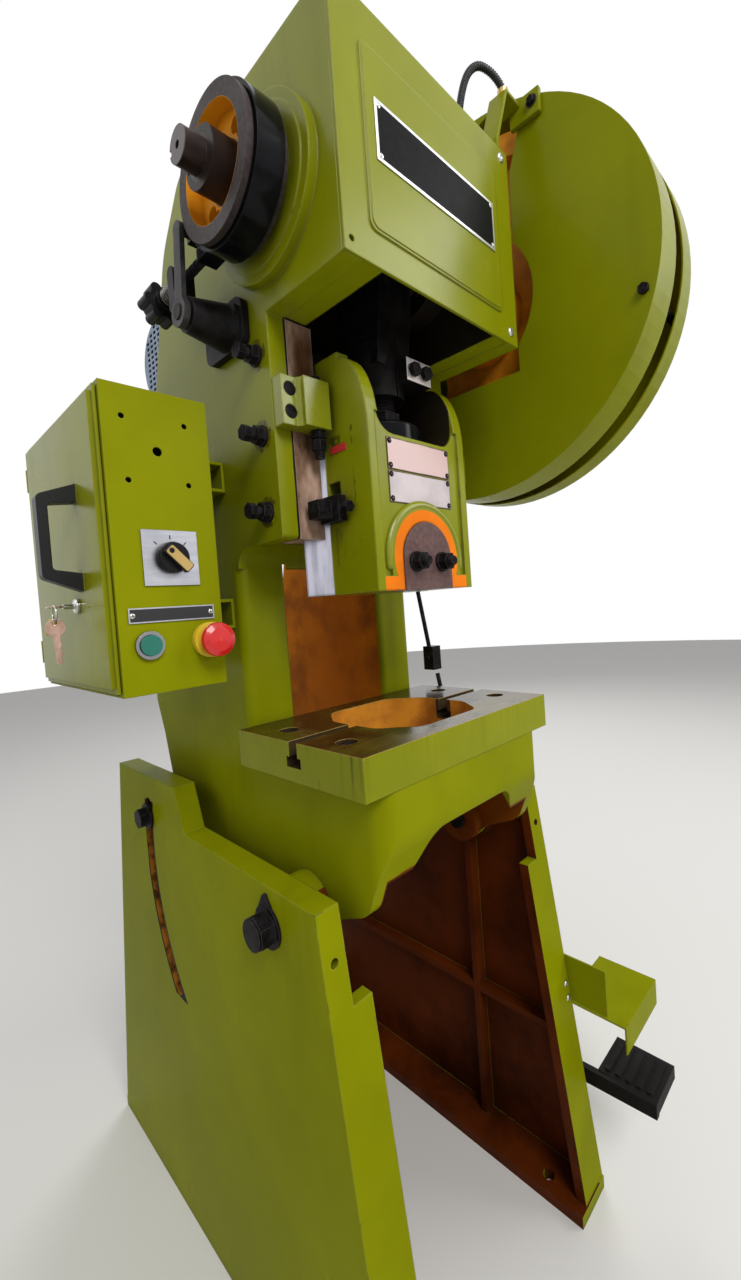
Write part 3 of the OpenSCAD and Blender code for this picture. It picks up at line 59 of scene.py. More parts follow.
def zone(x0, x1, v0, v1, z0, z1):
    return press(x0, v0, z0), press(x1, v1, z1)


def onCircle(r, degrees):
    return r * math.cos(math.radians(degrees)), r * math.sin(math.radians(degrees))


def addObject(name, data):
    item = bpy.data.objects.new(name, data)
    scene.collection.objects.link(item)
    return item


# camera, fitted to the corners of the head, the bolster, the legs and the control box
cameraView = {"place": (-0.5248, -0.7354, 0.937), "turn": (88.127, 3.951, -46.599), "lens": 14.668,
              "sensor": 36, "shiftX": -0.0253, "shiftY": -0.01604, "nearest": 0.02}
cameraData = bpy.data.cameras.new("pressCamera")
cameraData.lens = cameraView["lens"]
cameraData.sensor_width = cameraView["sensor"]
cameraData.shift_x = cameraView["shiftX"]
cameraData.shift_y = cameraView["shiftY"]
cameraData.clip_start = cameraView["nearest"]
camera = addObject("pressCamera", cameraData)
camera.location = cameraView["place"]
camera.rotation_euler = [math.radians(a) for a in cameraView["turn"]]
scene.camera = camera
scene.view_settings.view_transform = "Standard"
print("camera set")


# node helpers; those without a tree work in the tree of the sockets that they are given
def feed(socket, value):
    if isinstance(value, bpy.types.NodeSocket):
        socket.id_data.links.new(value, socket)
    elif value is not None:
        socket.default_value = value


def addNode(tree, kind, settings=None, **values):
    node = tree.nodes.new(kind)
    for key, value in (settings or {}).items():
        setattr(node, key, value)
    for key, value in values.items():
        feed(node.inputs[key.replace("_", " ")], value)
    return node


def made(tree, kind, settings=None, **values):
    return addNode(tree, kind, settings, **values).outputs[0]


def treeOf(*values):
    return next(value.id_data for value in values if isinstance(value, bpy.types.NodeSocket))


def calc(operation, a, b=None, clamp=False):
    node = addNode(treeOf(a, b), "ShaderNodeMath", {"operation": operation, "use_clamp": clamp})
    feed(node.inputs[0], a)
    feed(node.inputs[1], b)
    return node.outputs[0]


def times(a, b, clamp=False):
    return calc("MULTIPLY", a, b, clamp)


def vectorCalc(operation, a, b=None):
    node = addNode(treeOf(a, b), "ShaderNodeVectorMath", {"operation": operation})
    feed(node.inputs[0], a)
    feed(node.inputs[1], b)
    return node.outputs["Value" if operation in ("DOT_PRODUCT", "LENGTH") else "Vector"]


def opaque(value):
    return value if isinstance(value, bpy.types.NodeSocket) else (*value[:3], 1)


def mixColor(factor, a, b, share=None):
    node = addNode(treeOf(factor, a, b), "ShaderNodeMix", {"data_type": "RGBA"})
    feed(node.inputs[0], factor if share is None else times(factor, share))
    feed(node.inputs[6], opaque(a))
    feed(node.inputs[7], opaque(b))
    return node.outputs[2]


def mixValue(factor, a, b):
    node = addNode(treeOf(factor, a, b), "ShaderNodeMix")
    feed(node.inputs[0], factor)
    feed(node.inputs[2], a)
    feed(node.inputs[3], b)
    return node.outputs[0]


def objectPlace(tree, output="Object"):
    return tree.nodes.new("ShaderNodeTexCoord").outputs[output]


def split(vector):
    return addNode(vector.id_data, "ShaderNodeSeparateXYZ", Vector=vector).outputs


def fromMiddle(tree):
    return calc("ABSOLUTE", split(objectPlace(tree))[0])


def cloud(place, scale, detail=3.0, rough=0.55, stretch=None):
    if stretch:
        place = made(place.id_data, "ShaderNodeMapping", Vector=place, Scale=stretch)
    return made(place.id_data, "ShaderNodeTexNoise", Vector=place, Scale=scale, Detail=detail, Roughness=rough)


def step(value, low, high):
    node = addNode(value.id_data, "ShaderNodeMapRange", {"interpolation_type": "SMOOTHSTEP"}, Value=value)
    node.inputs[1].default_value = low
    node.inputs[2].default_value = high
    return node.outputs[0]


def blots(place, scale, detail, rough, low, high, stretch=None):
    return step(cloud(place, scale, detail, rough, stretch), low, high)


# a tree's inputs, of the kind that each default value shows
def addInputs(tree, inputs):
    kinds = {float: "NodeSocketFloat", int: "NodeSocketInt", tuple: "NodeSocketVector"}
    for label, value in inputs.items():
        socket = tree.interface.new_socket(label, in_out="INPUT", socket_type=kinds[type(value)])
        socket.default_value = value


def newGroup(name, inputs):
    group = bpy.data.node_groups.new(name, "ShaderNodeTree")
    addInputs(group, inputs)
    return group, group.nodes.new("NodeGroupInput").outputs


def endGroup(group, **results):
    for label, value in results.items():
        kind = "NodeSocketVector" if value.type == "VECTOR" else "NodeSocketFloat"
        group.interface.new_socket(label, in_out="OUTPUT", socket_type=kind)
    ends = group.nodes.new("NodeGroupOutput").inputs
    for label, value in results.items():
        group.links.new(value, ends[label])


def useGroup(tree, group, **values):
    return addNode(tree, "ShaderNodeGroup", {"node_tree": group}, **values).outputs


# rounded edges, the chips along them, and the edge mask that carries a painted highlight along them
edgeWearAndHighlight, given = newGroup("edgeWearAndHighlight", {"Radius": 0.002, "Chips": 0.5})
rounded = made(edgeWearAndHighlight, "ShaderNodeBevel", {"samples": 4}, Radius=given["Radius"])
flat = edgeWearAndHighlight.nodes.new("ShaderNodeNewGeometry").outputs["Normal"]
edge = step(vectorCalc("DOT_PRODUCT", rounded, flat), 0.995, 0.86)
patchy = blots(objectPlace(edgeWearAndHighlight), 42, 5, 0.65, 0.54, 0.64)
chip = times(times(edge, patchy), given["Chips"], clamp=True)
endGroup(edgeWearAndHighlight, Normal=rounded, Edge=edge, Chip=chip)

# painted shade in corners and creases from ambient occlusion, plus smears of dirt and oil
grimeAndCornerShade, given = newGroup("grimeAndCornerShade", {"Reach": 0.02, "Amount": 0.5, "Smears": 0.3})
shade = addNode(grimeAndCornerShade, "ShaderNodeAmbientOcclusion", {"samples": 4}, Distance=given["Reach"])
smear = blots(objectPlace(grimeAndCornerShade), 10, 6, 0.62, 0.48, 0.8)
both = calc("ADD", step(shade.outputs["AO"], 0.8, 0.2), times(smear, given["Smears"]))
endGroup(grimeAndCornerShade, Dirt=times(both, given["Amount"], clamp=True))

# 1 inside a box in object coordinates, with a slightly wavy border
boxZone, given = newGroup("boxZone", {"Low": (0.0, 0.0, 0.0), "High": (1.0, 1.0, 1.0), "Wave": 0.001})
here = objectPlace(boxZone)
axes = split(vectorCalc("MINIMUM", vectorCalc("SUBTRACT", here, given["Low"]),
                        vectorCalc("SUBTRACT", given["High"], here)))
depth = calc("MINIMUM", calc("MINIMUM", axes[0], axes[1]), axes[2])
wobble = times(calc("SUBTRACT", cloud(here, 30), 0.5), given["Wave"])
endGroup(boxZone, Inside=calc("GREATER_THAN", calc("ADD", depth, wobble), 0))

# 1 between two distances from a line along one axis, for rings on drums, caps and buttons
ringZone, given = newGroup("ringZone", {"Centre": (0.0, 0.0, 0.0), "Across": (0.0, 1.0, 1.0), "Inner": 0.0,
                                        "Outer": 0.01})
away = vectorCalc("SUBTRACT", objectPlace(ringZone), given["Centre"])
reach = vectorCalc("LENGTH", vectorCalc("MULTIPLY", away, given["Across"]))
endGroup(ringZone, Inside=times(calc("GREATER_THAN", reach, given["Inner"]),
                                calc("LESS_THAN", reach, given["Outer"])))
print("shared shader groups built")


def boxMask(tree, corners, wave=0.0):
    return useGroup(tree, boxZone, Low=corners[0], High=corners[1], Wave=wave)["Inside"]


def ringMask(tree, centre, across, inner, outer):
    return useGroup(tree, ringZone, Centre=centre, Across=across, Inner=inner / 1000, Outer=outer / 1000)["Inside"]


def anyOf(masks):
    total = masks[0]
    for mask in masks[1:]:
        total = calc("MAXIMUM", total, mask)
    return total


# masks that are built when a material asks for them
def inBoxes(*boxes, wave=0.0):
    return lambda tree: anyOf([boxMask(tree, corners, wave) for corners in boxes])


def around(centre, across, inner, outer):
    return lambda tree: ringMask(tree, centre, across, inner, outer)


def outside(mask):
    return lambda tree: calc("SUBTRACT", 1.0, mask(tree))


finish = {}
# the dirt, soot and dust colours also serve as painted shade in corners and creases, and the pale green edge colour is
# a painted highlight along edges
paint = {"green": (0.188, 0.206, 0.001), "greenWorn": (0.235, 0.252, 0.002), "greenDrip": (0.11, 0.12, 0.001),
         "greenEdgeHighlight": (0.36, 0.38, 0.05), "primer": (0.66, 0.22, 0.002), "primerOily": (0.2, 0.055, 0.003),
         "primerBright": (0.86, 0.215, 0.008), "primerDull": (0.7, 0.16, 0.008), "legPrimer": (0.105, 0.02, 0.002),
         "legPrimerOily": (0.03, 0.006, 0.001), "dirtAndShade": (0.018, 0.014, 0.006), "bare": (0.07, 0.06, 0.04),
         "insideOil": (0.012, 0.008, 0.006), "sootAndShade": (0.018, 0.014, 0.009), "dustAndShade": (0.03, 0.025, 0.015),
         "slotGrease": (0.01, 0.008, 0.006), "slotBrown": (0.3, 0.11, 0.012), "slotDark": (0.05, 0.02, 0.006),
         "washerRust": (0.05, 0.022, 0.008), "wayLight": (0.54, 0.53, 0.62), "wayDark": (0.34, 0.34, 0.4),
         "wayOil": (0.035, 0.028, 0.006), "handle": (0.018, 0.018, 0.019)}


def newMaterial(name):
    finish[name] = bpy.data.materials.new(name)
    finish[name].use_nodes = True
    tree = finish[name].node_tree
    return tree, tree.nodes["Principled BSDF"]


def setShader(shader, **values):
    for key, value in values.items():
        feed(shader.inputs[key.replace("_", " ")], opaque(value) if "Color" in key else value)


def startLook(name, radius, chips, reach, amount, smears):
    tree, shader = newMaterial(name)
    wearAndHighlight = useGroup(tree, edgeWearAndHighlight, Radius=radius, Chips=chips)
    dirtAndCornerShade = useGroup(tree, grimeAndCornerShade, Reach=reach, Amount=amount, Smears=smears)["Dirt"]
    return tree, shader, objectPlace(tree), wearAndHighlight, dirtAndCornerShade


def raised(height, wearAndHighlight, strength, distance):
    return made(height.id_data, "ShaderNodeBump", Strength=strength, Distance=distance, Height=height,
                Normal=wearAndHighlight["Normal"])


# paint on the castings and the sheet metal, duller low down, with primer and oil where the masks say so
paintLook = {"reach": 0.03, "smears": 0.3, "runs": 0.35, "edges": 0.5, "dirtAndShade": 0.75, "dirtRough": 0.55,
             "rough": (0.2, 0.33), "primerRough": 0.5, "oilRough": 0.45, "peel": 0.12, "bump": 0.22,
             "bumpDepth": 0.0016, "dullBelow": 0.62, "shinyAbove": 1.3, "dull": 0.01, "primerShine": 0.05}


def greenPaint(name, primerIn=None, oilyIn=None, radius=0.002, chips=0.5, dirtAndShade=0.6, casting=0.5, extra=None,
               coats=("primer", "primerOily"), shine=0.2):
    tree, shader, here, wearAndHighlight, dirtAndCornerShade = startLook(name, radius, chips, paintLook["reach"], dirtAndShade, paintLook["smears"])
    tone = cloud(here, 3.0, 4, 0.6)
    runs = blots(here, 15, 3, 0.5, 0.55, 0.8, (1, 1, 0.1))
    color = mixColor(step(tone, 0.35, 0.75), paint["green"], paint["greenWorn"])
    color = mixColor(runs, color, paint["greenDrip"], paintLook["runs"])
    # painted highlight: a paler green along the edges
    color = mixColor(wearAndHighlight["Edge"], color, paint["greenEdgeHighlight"], paintLook["edges"])
    rough = mixValue(step(tone, 0.3, 0.8), *paintLook["rough"])
    for inside, light, deep, matt in ((primerIn, coats[0], coats[1], paintLook["primerRough"]),
                                      (oilyIn, "insideOil", "dirtAndShade", paintLook["oilRough"])):
        if inside:
            mask = inside(tree)
            coat = mixColor(blots(here, 6, 5, 0.62, 0.38, 0.72), paint[light], paint[deep])
            color = mixColor(mask, color, coat)
            rough = mixValue(mask, rough, matt)
    # painted shade in corners and creases, mixed with dirt smears
    color = mixColor(dirtAndCornerShade, color, paint["dirtAndShade"], paintLook["dirtAndShade"])
    color = mixColor(wearAndHighlight["Chip"], color, paint["bare"])
    if extra:
        color, rough, bare = extra(tree, color, rough)
        feed(shader.inputs["Metallic"], bare)
    rough = mixValue(dirtAndCornerShade, rough, paintLook["dirtRough"])
    height = calc("ADD", times(cloud(here, 320, 2, 0.5), paintLook["peel"]),
                  times(cloud(here, 34, 5, 0.55), casting))
    high = step(split(here)[2], paintLook["dullBelow"], paintLook["shinyAbove"])
    gloss = mixValue(high, paintLook["dull"], shine)
    if primerIn:
        gloss = mixValue(primerIn(tree), gloss, paintLook["primerShine"])
    setShader(shader, Base_Color=color, Roughness=rough, Specular_IOR_Level=gloss,
              Normal=raised(height, wearAndHighlight, paintLook["bump"], paintLook["bumpDepth"]))


# primer and oil inside the frame; the first box is the hollow under the table
tableHollow = zone(-147, 147, -104, 126, -330, -66)
framePrimer = inBoxes(tableHollow, zone(-92, 92, 134, 490, -330, 510), zone(103, 151, 161, 490, -103, 483),
                      zone(-151, -103, 161, 490, -103, 483), zone(-100, 100, -94, 94, -71, -46.5), wave=0.002)
frameOily = inBoxes(zone(-107, 107, -123, 152, 505, 763), zone(-92, 92, 148, 490, 508.4, 743),
                    zone(-140, 140, 17, 68, 178, 510), wave=0.002)

# inside of the legs: faces that look to the middle, the ribs, and the edges inside the outer plate
legShape = {"middle": (0, 190, -460), "plate": 0.2086, "inward": -0.05, "edge": -0.01}


def legInside(tree):
    here, facing = objectPlace(tree), objectPlace(tree, "Normal")
    inward = times(split(facing)[0], split(here)[0])
    ribs = boxMask(tree, zone(-208.6, 208.6, -55, 460, -767, -177))
    middle = press(*legShape["middle"])
    outward = split(vectorCalc("MULTIPLY", vectorCalc("SUBTRACT", here, middle), facing))
    edges = calc("LESS_THAN", calc("ADD", outward[1], outward[2]), legShape["edge"])
    recess = calc("LESS_THAN", fromMiddle(tree), legShape["plate"])
    return anyOf([calc("LESS_THAN", inward, legShape["inward"]), ribs, times(edges, recess)])


# black grease along the curved lock slot, brown primer inside it
lockSlot = {"pivot": (0, 17, -205), "greaseRing": (329.0, 361.0), "slotRing": (328.0, 362.0), "skin": 0.2226}


def slotGrease(tree, color, rough):
    pivot = press(*lockSlot["pivot"])
    arc = boxMask(tree, zone(-240, 240, 240, 376, -426, -112), 0.006)
    onFace = boxMask(tree, zone(-240, 240, 240, 376, -421, -131), 0.004)
    edges = times(onFace, ringMask(tree, pivot, (0, 1, 1), *lockSlot["greaseRing"]))
    inside = times(arc, ringMask(tree, pivot, (0, 1, 1), *lockSlot["slotRing"]))
    deep = calc("LESS_THAN", fromMiddle(tree), lockSlot["skin"])
    strip = blots(objectPlace(tree), 60, 4, 0.6, 0.4, 0.65)
    strip = mixColor(strip, paint["slotBrown"], paint["slotDark"])
    color = mixColor(edges, color, paint["slotGrease"])
    return mixColor(times(inside, deep), color, strip), rough, 0.0


# oily rust around the washers of the gib screws, and painted shade: the hollow under the table darkened with dark
# primer
gibScrews = {"x": -163, "v": 46, "heights": (275, 368, 465), "rust": (11, 19.5)}


def washerRustAndTableShade(tree, color, rough):
    rings = anyOf([ringMask(tree, press(gibScrews["x"], gibScrews["v"], z), (0, 1, 1), *gibScrews["rust"])
                   for z in gibScrews["heights"]])
    mask = times(boxMask(tree, zone(-170, -158, 20, 72, 240, 500)), rings)
    mask = times(mask, blots(objectPlace(tree), 90, 4, 0.6, 0.38, 0.6))
    # painted shade: the hollow under the table darkened with the dark leg primer
    color = mixColor(boxMask(tree, tableHollow, 0.002), color, paint["legPrimer"], 0.88)
    return mixColor(mask, color, paint["washerRust"], 0.85), rough, 0.0


# slide: primer around the shank clamp and on two feet, oil between the horns, bare ways with oil streaks
slideLow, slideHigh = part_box("slide")
slideShape = {"shank": 0.0404, "ring": 62.5, "wayFrom": 0.0934, "wayRough": 0.3}
slideOily = inBoxes(zone(-75.5, 75.5, -60, 70, 361, 480))


def slidePrimer(tree):
    axis = Vector((0, 0, slideLow.z + slideShape["shank"]))
    y, z = slideLow.y - 0.001, slideLow.z - 0.001
    feet = boxMask(tree, (Vector((-0.081, y, z)), Vector((0.081, y + 0.004, z + 0.0182))), 0.0015)
    front = boxMask(tree, (Vector((-0.09, y, z)), Vector((0.09, y + 0.0045, slideHigh.z))))
    ring = ringMask(tree, axis, (1, 0, 1), 0, slideShape["ring"])
    return calc("MAXIMUM", times(ring, front), feet)


def slideWays(tree, color, rough):
    here = objectPlace(tree)
    sides = calc("GREATER_THAN", fromMiddle(tree), slideShape["wayFrom"])
    back = calc("GREATER_THAN", split(objectPlace(tree, "Normal"))[1], 0.9)
    bare = calc("MAXIMUM", sides, back)
    steel = mixColor(blots(here, 90, 4, 0.6, 0.4, 0.7, (1, 1, 0.15)), paint["wayLight"], paint["wayDark"])
    nearGib = boxMask(tree, zone(-93.4, 93.4, -34, 30, 200, 366), 0.05)
    streaks = times(blots(here, 55, 5, 0.62, 0.46, 0.66, (1, 1, 0.1)), nearGib)
    color = mixColor(streaks, color, paint["wayOil"], 0.8)
    return mixColor(bare, color, steel), mixValue(bare, rough, slideShape["wayRough"]), bare


# D handle of the door, in black on the green
doorLow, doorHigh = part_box("box_door")
handleEnd = doorLow.x + 0.0375
doorHandle = inBoxes((doorLow - Vector((0.01, 0, 0)), Vector((handleEnd, doorHigh.y, doorHigh.z))))


def darkHandle(tree, color, rough):
    mask = doorHandle(tree)
    return mixColor(mask, color, paint["handle"]), mixValue(mask, rough, 0.35), 0.0


def patchUp(tree, patches, color, rough, metallic):
    for mask, patchColor, patchRough, patchMetal in patches:
        inside = mask(tree)
        color = mixColor(inside, color, patchColor)
        rough = mixValue(inside, rough, patchRough)
        metallic = mixValue(inside, metallic, patchMetal)
    return color, rough, metallic


def brighter(color, gain, lift):
    return [min(1, c * gain + lift) for c in color]


# metals: turned, ground, cast, blackened or oily, each with its own grain and a painted highlight along the edges
def metal(name, light, dark, rough, grain=120, stretch=(1, 1, 1), radius=0.0008, shine=0.5, dirtAndShade=0.5,
          metallic=1.0, bumps=0.15, patches=(), gloss=0.5):
    tree, shader, here, wearAndHighlight, dirtAndCornerShade = startLook(name, radius, 0.0, reach=0.015, amount=dirtAndShade, smears=0.35)
    lines = cloud(here, grain, 4, 0.6, stretch)
    blotch = cloud(here, 14, 4, 0.6)
    color = mixColor(step(lines, 0.3, 0.75), dark, light)
    color = mixColor(step(blotch, 0.45, 0.75), color, dark, 0.5)
    wet = mixValue(step(blotch, 0.35, 0.7), rough[1], rough[0])
    # painted highlight: a brighter colour along the edges
    color = mixColor(wearAndHighlight["Edge"], color, brighter(light, 2.2, 0.06), shine)
    color, wet, metallic = patchUp(tree, patches, color, wet, metallic)
    # painted shade in corners and creases, mixed with soot smears
    color = mixColor(dirtAndCornerShade, color, paint["sootAndShade"], 0.7)
    setShader(shader, Base_Color=color, Roughness=wet, Metallic=metallic, Specular_IOR_Level=gloss,
              Normal=raised(lines, wearAndHighlight, bumps, 0.0006))


def plastic(name, color, rough=0.35, grain=400, bumps=0.1, radius=0.0008, coat=0.0, patches=(), gloss=0.35):
    tree, shader, here, wearAndHighlight, dirtAndCornerShade = startLook(name, radius, 0.0, reach=0.008, amount=0.45, smears=0.2)
    fine = cloud(here, grain, 3, 0.6)
    tone = cloud(here, 22, 3, 0.5)
    shown = mixColor(step(tone, 0.35, 0.7), color, brighter(color, 0.8, 0))
    # painted highlight: a brighter colour along the edges
    shown = mixColor(wearAndHighlight["Edge"], shown, brighter(color, 1.6, 0.05), 0.25)
    wet = mixValue(step(tone, 0.3, 0.75), rough, rough + 0.14)
    shown, wet, metallic = patchUp(tree, patches, shown, wet, 0.0)
    # painted shade in corners and creases, mixed with dust
    shown = mixColor(dirtAndCornerShade, shown, paint["dustAndShade"], 0.7)
    setShader(shader, Base_Color=shown, Roughness=wet, Metallic=metallic, Specular_IOR_Level=gloss,
              Coat_Weight=coat, Normal=raised(fine, wearAndHighlight, bumps, 0.0005))


# bolster: green sides with oil drips, a dark oily top with scratches, primer in the drop hole
bolster = {"hole": zone(-92.5, 92.5, -88.5, 88.5, -60, -0.6), "slot": zone(-184.6, 184.6, -14.5, 14.5, -31, -0.4),
           "screwX": 150, "screwV": 57, "screwHalf": 13.2, "oilySide": zone(-190, -184, -118, -18, -60, 2),
           "topRim": zone(-190, 190, -130, 130, -3, 1), "dripZ": (-40, 24), "dripShare": (0.12, 0.9),
           "steel": (0.06, 0.042, 0.004), "steelWorn": (0.105, 0.08, 0.008), "oil": (0.024, 0.013, 0.004),
           "primer": (0.62, 0.24, 0.02), "primerOily": (0.26, 0.08, 0.012), "slotOil": (0.045, 0.03, 0.014),
           "drip": (0.045, 0.042, 0.004), "rust": (0.62, 0.36, 0.13), "chip": (0.3, 0.26, 0.14)}


def bolsterFinish(name):
    tree, shader, here, wearAndHighlight, dirtAndCornerShade = startLook(name, radius=0.0012, chips=0.7, reach=0.02, amount=0.6, smears=0.4)
    top = calc("GREATER_THAN", split(objectPlace(tree, "Normal"))[2], 0.6)
    hole = boxMask(tree, bolster["hole"])
    half = bolster["screwHalf"]
    screws = [zone(x - half, x + half, v - half, v + half, -48, -0.4)
              for x in (-bolster["screwX"], bolster["screwX"]) for v in (-bolster["screwV"], bolster["screwV"])]
    slot = inBoxes(bolster["slot"], *screws)(tree)
    ragged = times(cloud(here, 22, 3, 0.5, (1, 1, 0.1)), 0.05)
    dripEnd, dripTop = [press(0, 0, z).z for z in bolster["dripZ"]]
    low = step(calc("ADD", split(here)[2], ragged), dripEnd, dripTop)
    drips = times(blots(here, 150, 4, 0.6, 0.52, 0.68, (1, 1, 0.02)), low)
    drips = times(drips, mixValue(boxMask(tree, bolster["oilySide"], 0.02), *bolster["dripShare"]))
    green = mixColor(blots(here, 4, 4, 0.6, 0.35, 0.7), paint["green"], paint["greenWorn"])
    green = mixColor(drips, green, bolster["drip"])
    scratches = cloud(here, 160, 4, 0.7, (0.05, 1, 1))
    pools = blots(here, 7, 5, 0.6, 0.4, 0.62)
    steel = mixColor(step(scratches, 0.35, 0.7), bolster["steel"], bolster["steelWorn"])
    primer = mixColor(blots(here, 12, 5, 0.6, 0.4, 0.7), bolster["primer"], bolster["primerOily"])
    color = mixColor(top, green, mixColor(pools, steel, bolster["oil"]))
    color = mixColor(hole, color, primer)
    color = mixColor(slot, color, bolster["slotOil"])
    # painted shade in corners and creases, mixed with dirt smears
    color = mixColor(dirtAndCornerShade, color, paint["dirtAndShade"], 0.6)
    color = mixColor(times(wearAndHighlight["Edge"], boxMask(tree, bolster["topRim"])), color, bolster["rust"], 0.85)
    color = mixColor(wearAndHighlight["Chip"], color, bolster["chip"])
    rough = mixValue(top, 0.27, mixValue(pools, 0.34, 0.13))
    setShader(shader, Base_Color=color, Roughness=mixValue(hole, rough, 0.5), Specular_IOR_Level=0.12,
              Metallic=times(top, 0.15), Normal=raised(scratches, wearAndHighlight, 0.12, 0.0008))


# places that the patches on metals and plates need
drumLow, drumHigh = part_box("brake_drum")
drumAxis = (drumLow + drumHigh) / 2
stubEnd = inBoxes((Vector((-0.3, -1, 0)), Vector((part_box("crankshaft")[0].x + 0.0008, 1, 2))))
nameLow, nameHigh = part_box("nameplate")
nameBorder = Vector((0.0035, -0.01, 0.0035))
nameRim = outside(inBoxes((nameLow + nameBorder, nameHigh - nameBorder)))
signRim = outside(inBoxes(*(zone(-58.9, 58.9, -70, -60, z, z + 36.8) for z in (279.1, 320.1)), wave=0.0016))
upperSign = inBoxes(zone(-70, 70, -70, -60, 318.4, 372))
rodMark = inBoxes(zone(-70, 70, -53, -51.5, 440, 485))
boxStrip = inBoxes(zone(-327.6, -237.4, 50, 70, 151.4, 164.6))
startBezel = around(press(-310, 63, 126), (1, 0, 1), 0, 15.5)
stopCollar = around(press(-244, 63, 126), (1, 0, 1), 0, 20.3)

greenPaint("legGreen", primerIn=legInside, radius=0.003, chips=0.7, dirtAndShade=0.5, extra=slotGrease,
           coats=("legPrimer", "legPrimerOily"))
greenPaint("frameGreen", primerIn=framePrimer, oilyIn=frameOily, radius=0.003, extra=washerRustAndTableShade)
greenPaint("slideGreen", primerIn=slidePrimer, oilyIn=slideOily, radius=0.0045, dirtAndShade=0.7, extra=slideWays,
           coats=("primerBright", "primerDull"))
greenPaint("sheetGreen", radius=0.0015, chips=0.4, dirtAndShade=0.4, casting=0.12, shine=0.06)
greenPaint("doorGreen", radius=0.0015, chips=0.4, dirtAndShade=0.5, casting=0.12, extra=darkHandle)
greenPaint("coverGreen", radius=0.0025, chips=0.3, dirtAndShade=0.35, casting=0.2)
greenPaint("castGreen", chips=0.6, dirtAndShade=0.5, casting=1.6, shine=0.7)
bolsterFinish("bolsterOily")
metal("blackSteel", (0.02, 0.018, 0.02), (0.005, 0.004, 0.004), (0.25, 0.45), radius=0.0007, metallic=0.12,
      gloss=0.03, shine=0.9)
metal("castBlack", (0.016, 0.015, 0.016), (0.006, 0.005, 0.005), (0.28, 0.5), grain=60, radius=0.0015,
      shine=0.3, metallic=0.0, bumps=0.4, gloss=0.1)
metal("rodBlack", (0.014, 0.013, 0.013), (0.005, 0.004, 0.004), (0.3, 0.55), grain=60, radius=0.0015,
      shine=0.25, metallic=0.0, bumps=0.4, gloss=0.08, patches=[(rodMark, (0.6, 0.54, 0.52), 0.35, 0.6)])
metal("bandBlack", (0.007, 0.007, 0.009), (0.003, 0.003, 0.004), (0.1, 0.22), grain=60, radius=0.0015,
      shine=0.25, metallic=0.0, gloss=0.1)
metal("linkSteel", (0.062, 0.057, 0.058), (0.026, 0.024, 0.025), (0.3, 0.5), grain=50, radius=0.0012,
      metallic=0.3, gloss=0.15)
metal("clampSteel", (0.15, 0.088, 0.082), (0.095, 0.053, 0.048), (0.4, 0.55), grain=160, metallic=0.1,
      shine=0.3, gloss=0.12)
metal("shaftSteel", (0.04, 0.022, 0.017), (0.012, 0.007, 0.006), (0.3, 0.5), stretch=(0.1, 1, 1),
      metallic=0.4, gloss=0.3, patches=[(stubEnd, (0.085, 0.072, 0.072), 0.4, 0.3)])
metal("machinedSteel", (0.55, 0.55, 0.57), (0.3, 0.3, 0.31), (0.2, 0.38), stretch=(0.15, 1, 1))
metal("drumIron", (0.062, 0.047, 0.046), (0.03, 0.024, 0.024), (0.4, 0.55), grain=200, radius=0.0012,
      metallic=0.15, gloss=0.12,
      patches=[(around(drumAxis, (0, 1, 1), 31, 57.3), (0.78, 0.31, 0.008), 0.5, 0.0),
               (around(drumAxis, (0, 1, 1), 0, 30.6), (0.022, 0.016, 0.014), 0.4, 0.2)])
metal("gibBronze", (0.74, 0.5, 0.4), (0.1, 0.042, 0.014), (0.25, 0.45), grain=26, stretch=(1, 1, 0.3),
      dirtAndShade=0.7, metallic=0.15, gloss=0.2)
metal("bushBronze", (0.62, 0.4, 0.16), (0.35, 0.2, 0.07), (0.25, 0.4))
metal("zincScrew", (0.72, 0.72, 0.7), (0.45, 0.45, 0.44), (0.15, 0.3), radius=0.0006)
metal("wheelPrimer", (0.9, 0.34, 0.012), (0.58, 0.2, 0.01), (0.42, 0.6), grain=40, metallic=0.0, shine=0.2,
      gloss=0.15)
metal("springSteel", (0.2, 0.19, 0.18), (0.08, 0.075, 0.07), (0.25, 0.4))
metal("panelAluminium", (0.52, 0.52, 0.57), (0.4, 0.4, 0.44), (0.25, 0.4), stretch=(0.1, 1, 1), radius=0.0004,
      patches=[(boxStrip, (0.008, 0.008, 0.009), 0.4, 0.0), (startBezel, (0.3, 0.3, 0.31), 0.25, 0.9),
               (stopCollar, (0.78, 0.56, 0.03), 0.4, 0.0)])
metal("namePlate", (0.009, 0.009, 0.011), (0.006, 0.006, 0.006), (0.25, 0.38), metallic=0.0, shine=0.2,
      dirtAndShade=0.2, gloss=0.03, patches=[(nameRim, (0.72, 0.72, 0.7), 0.3, 0.9)])
metal("keyBrass", (0.62, 0.42, 0.34), (0.4, 0.24, 0.18), (0.25, 0.4), radius=0.0004)
metal("glandBrass", (0.8, 0.62, 0.26), (0.52, 0.36, 0.12), (0.2, 0.35), radius=0.0005)
plastic("signPlate", (0.56, 0.49, 0.5), 0.3, patches=[(upperSign, (0.6, 0.42, 0.4), 0.3, 0.0),
                                                      (signRim, (0.1, 0.06, 0.04), 0.5, 0.0)])
plastic("motorBlue", (0.2, 0.27, 0.38), grain=90, bumps=0.25, radius=0.0015)
plastic("rubberBlack", (0.012, 0.012, 0.012), 0.6, bumps=0.3)
plastic("hoseBlack", (0.01, 0.01, 0.011))
plastic("knobBlack", (0.007, 0.007, 0.008), 0.3, gloss=0.15)
plastic("pedalBlack", (0.009, 0.008, 0.008), 0.5, grain=60, bumps=0.35, radius=0.0015, gloss=0.08)
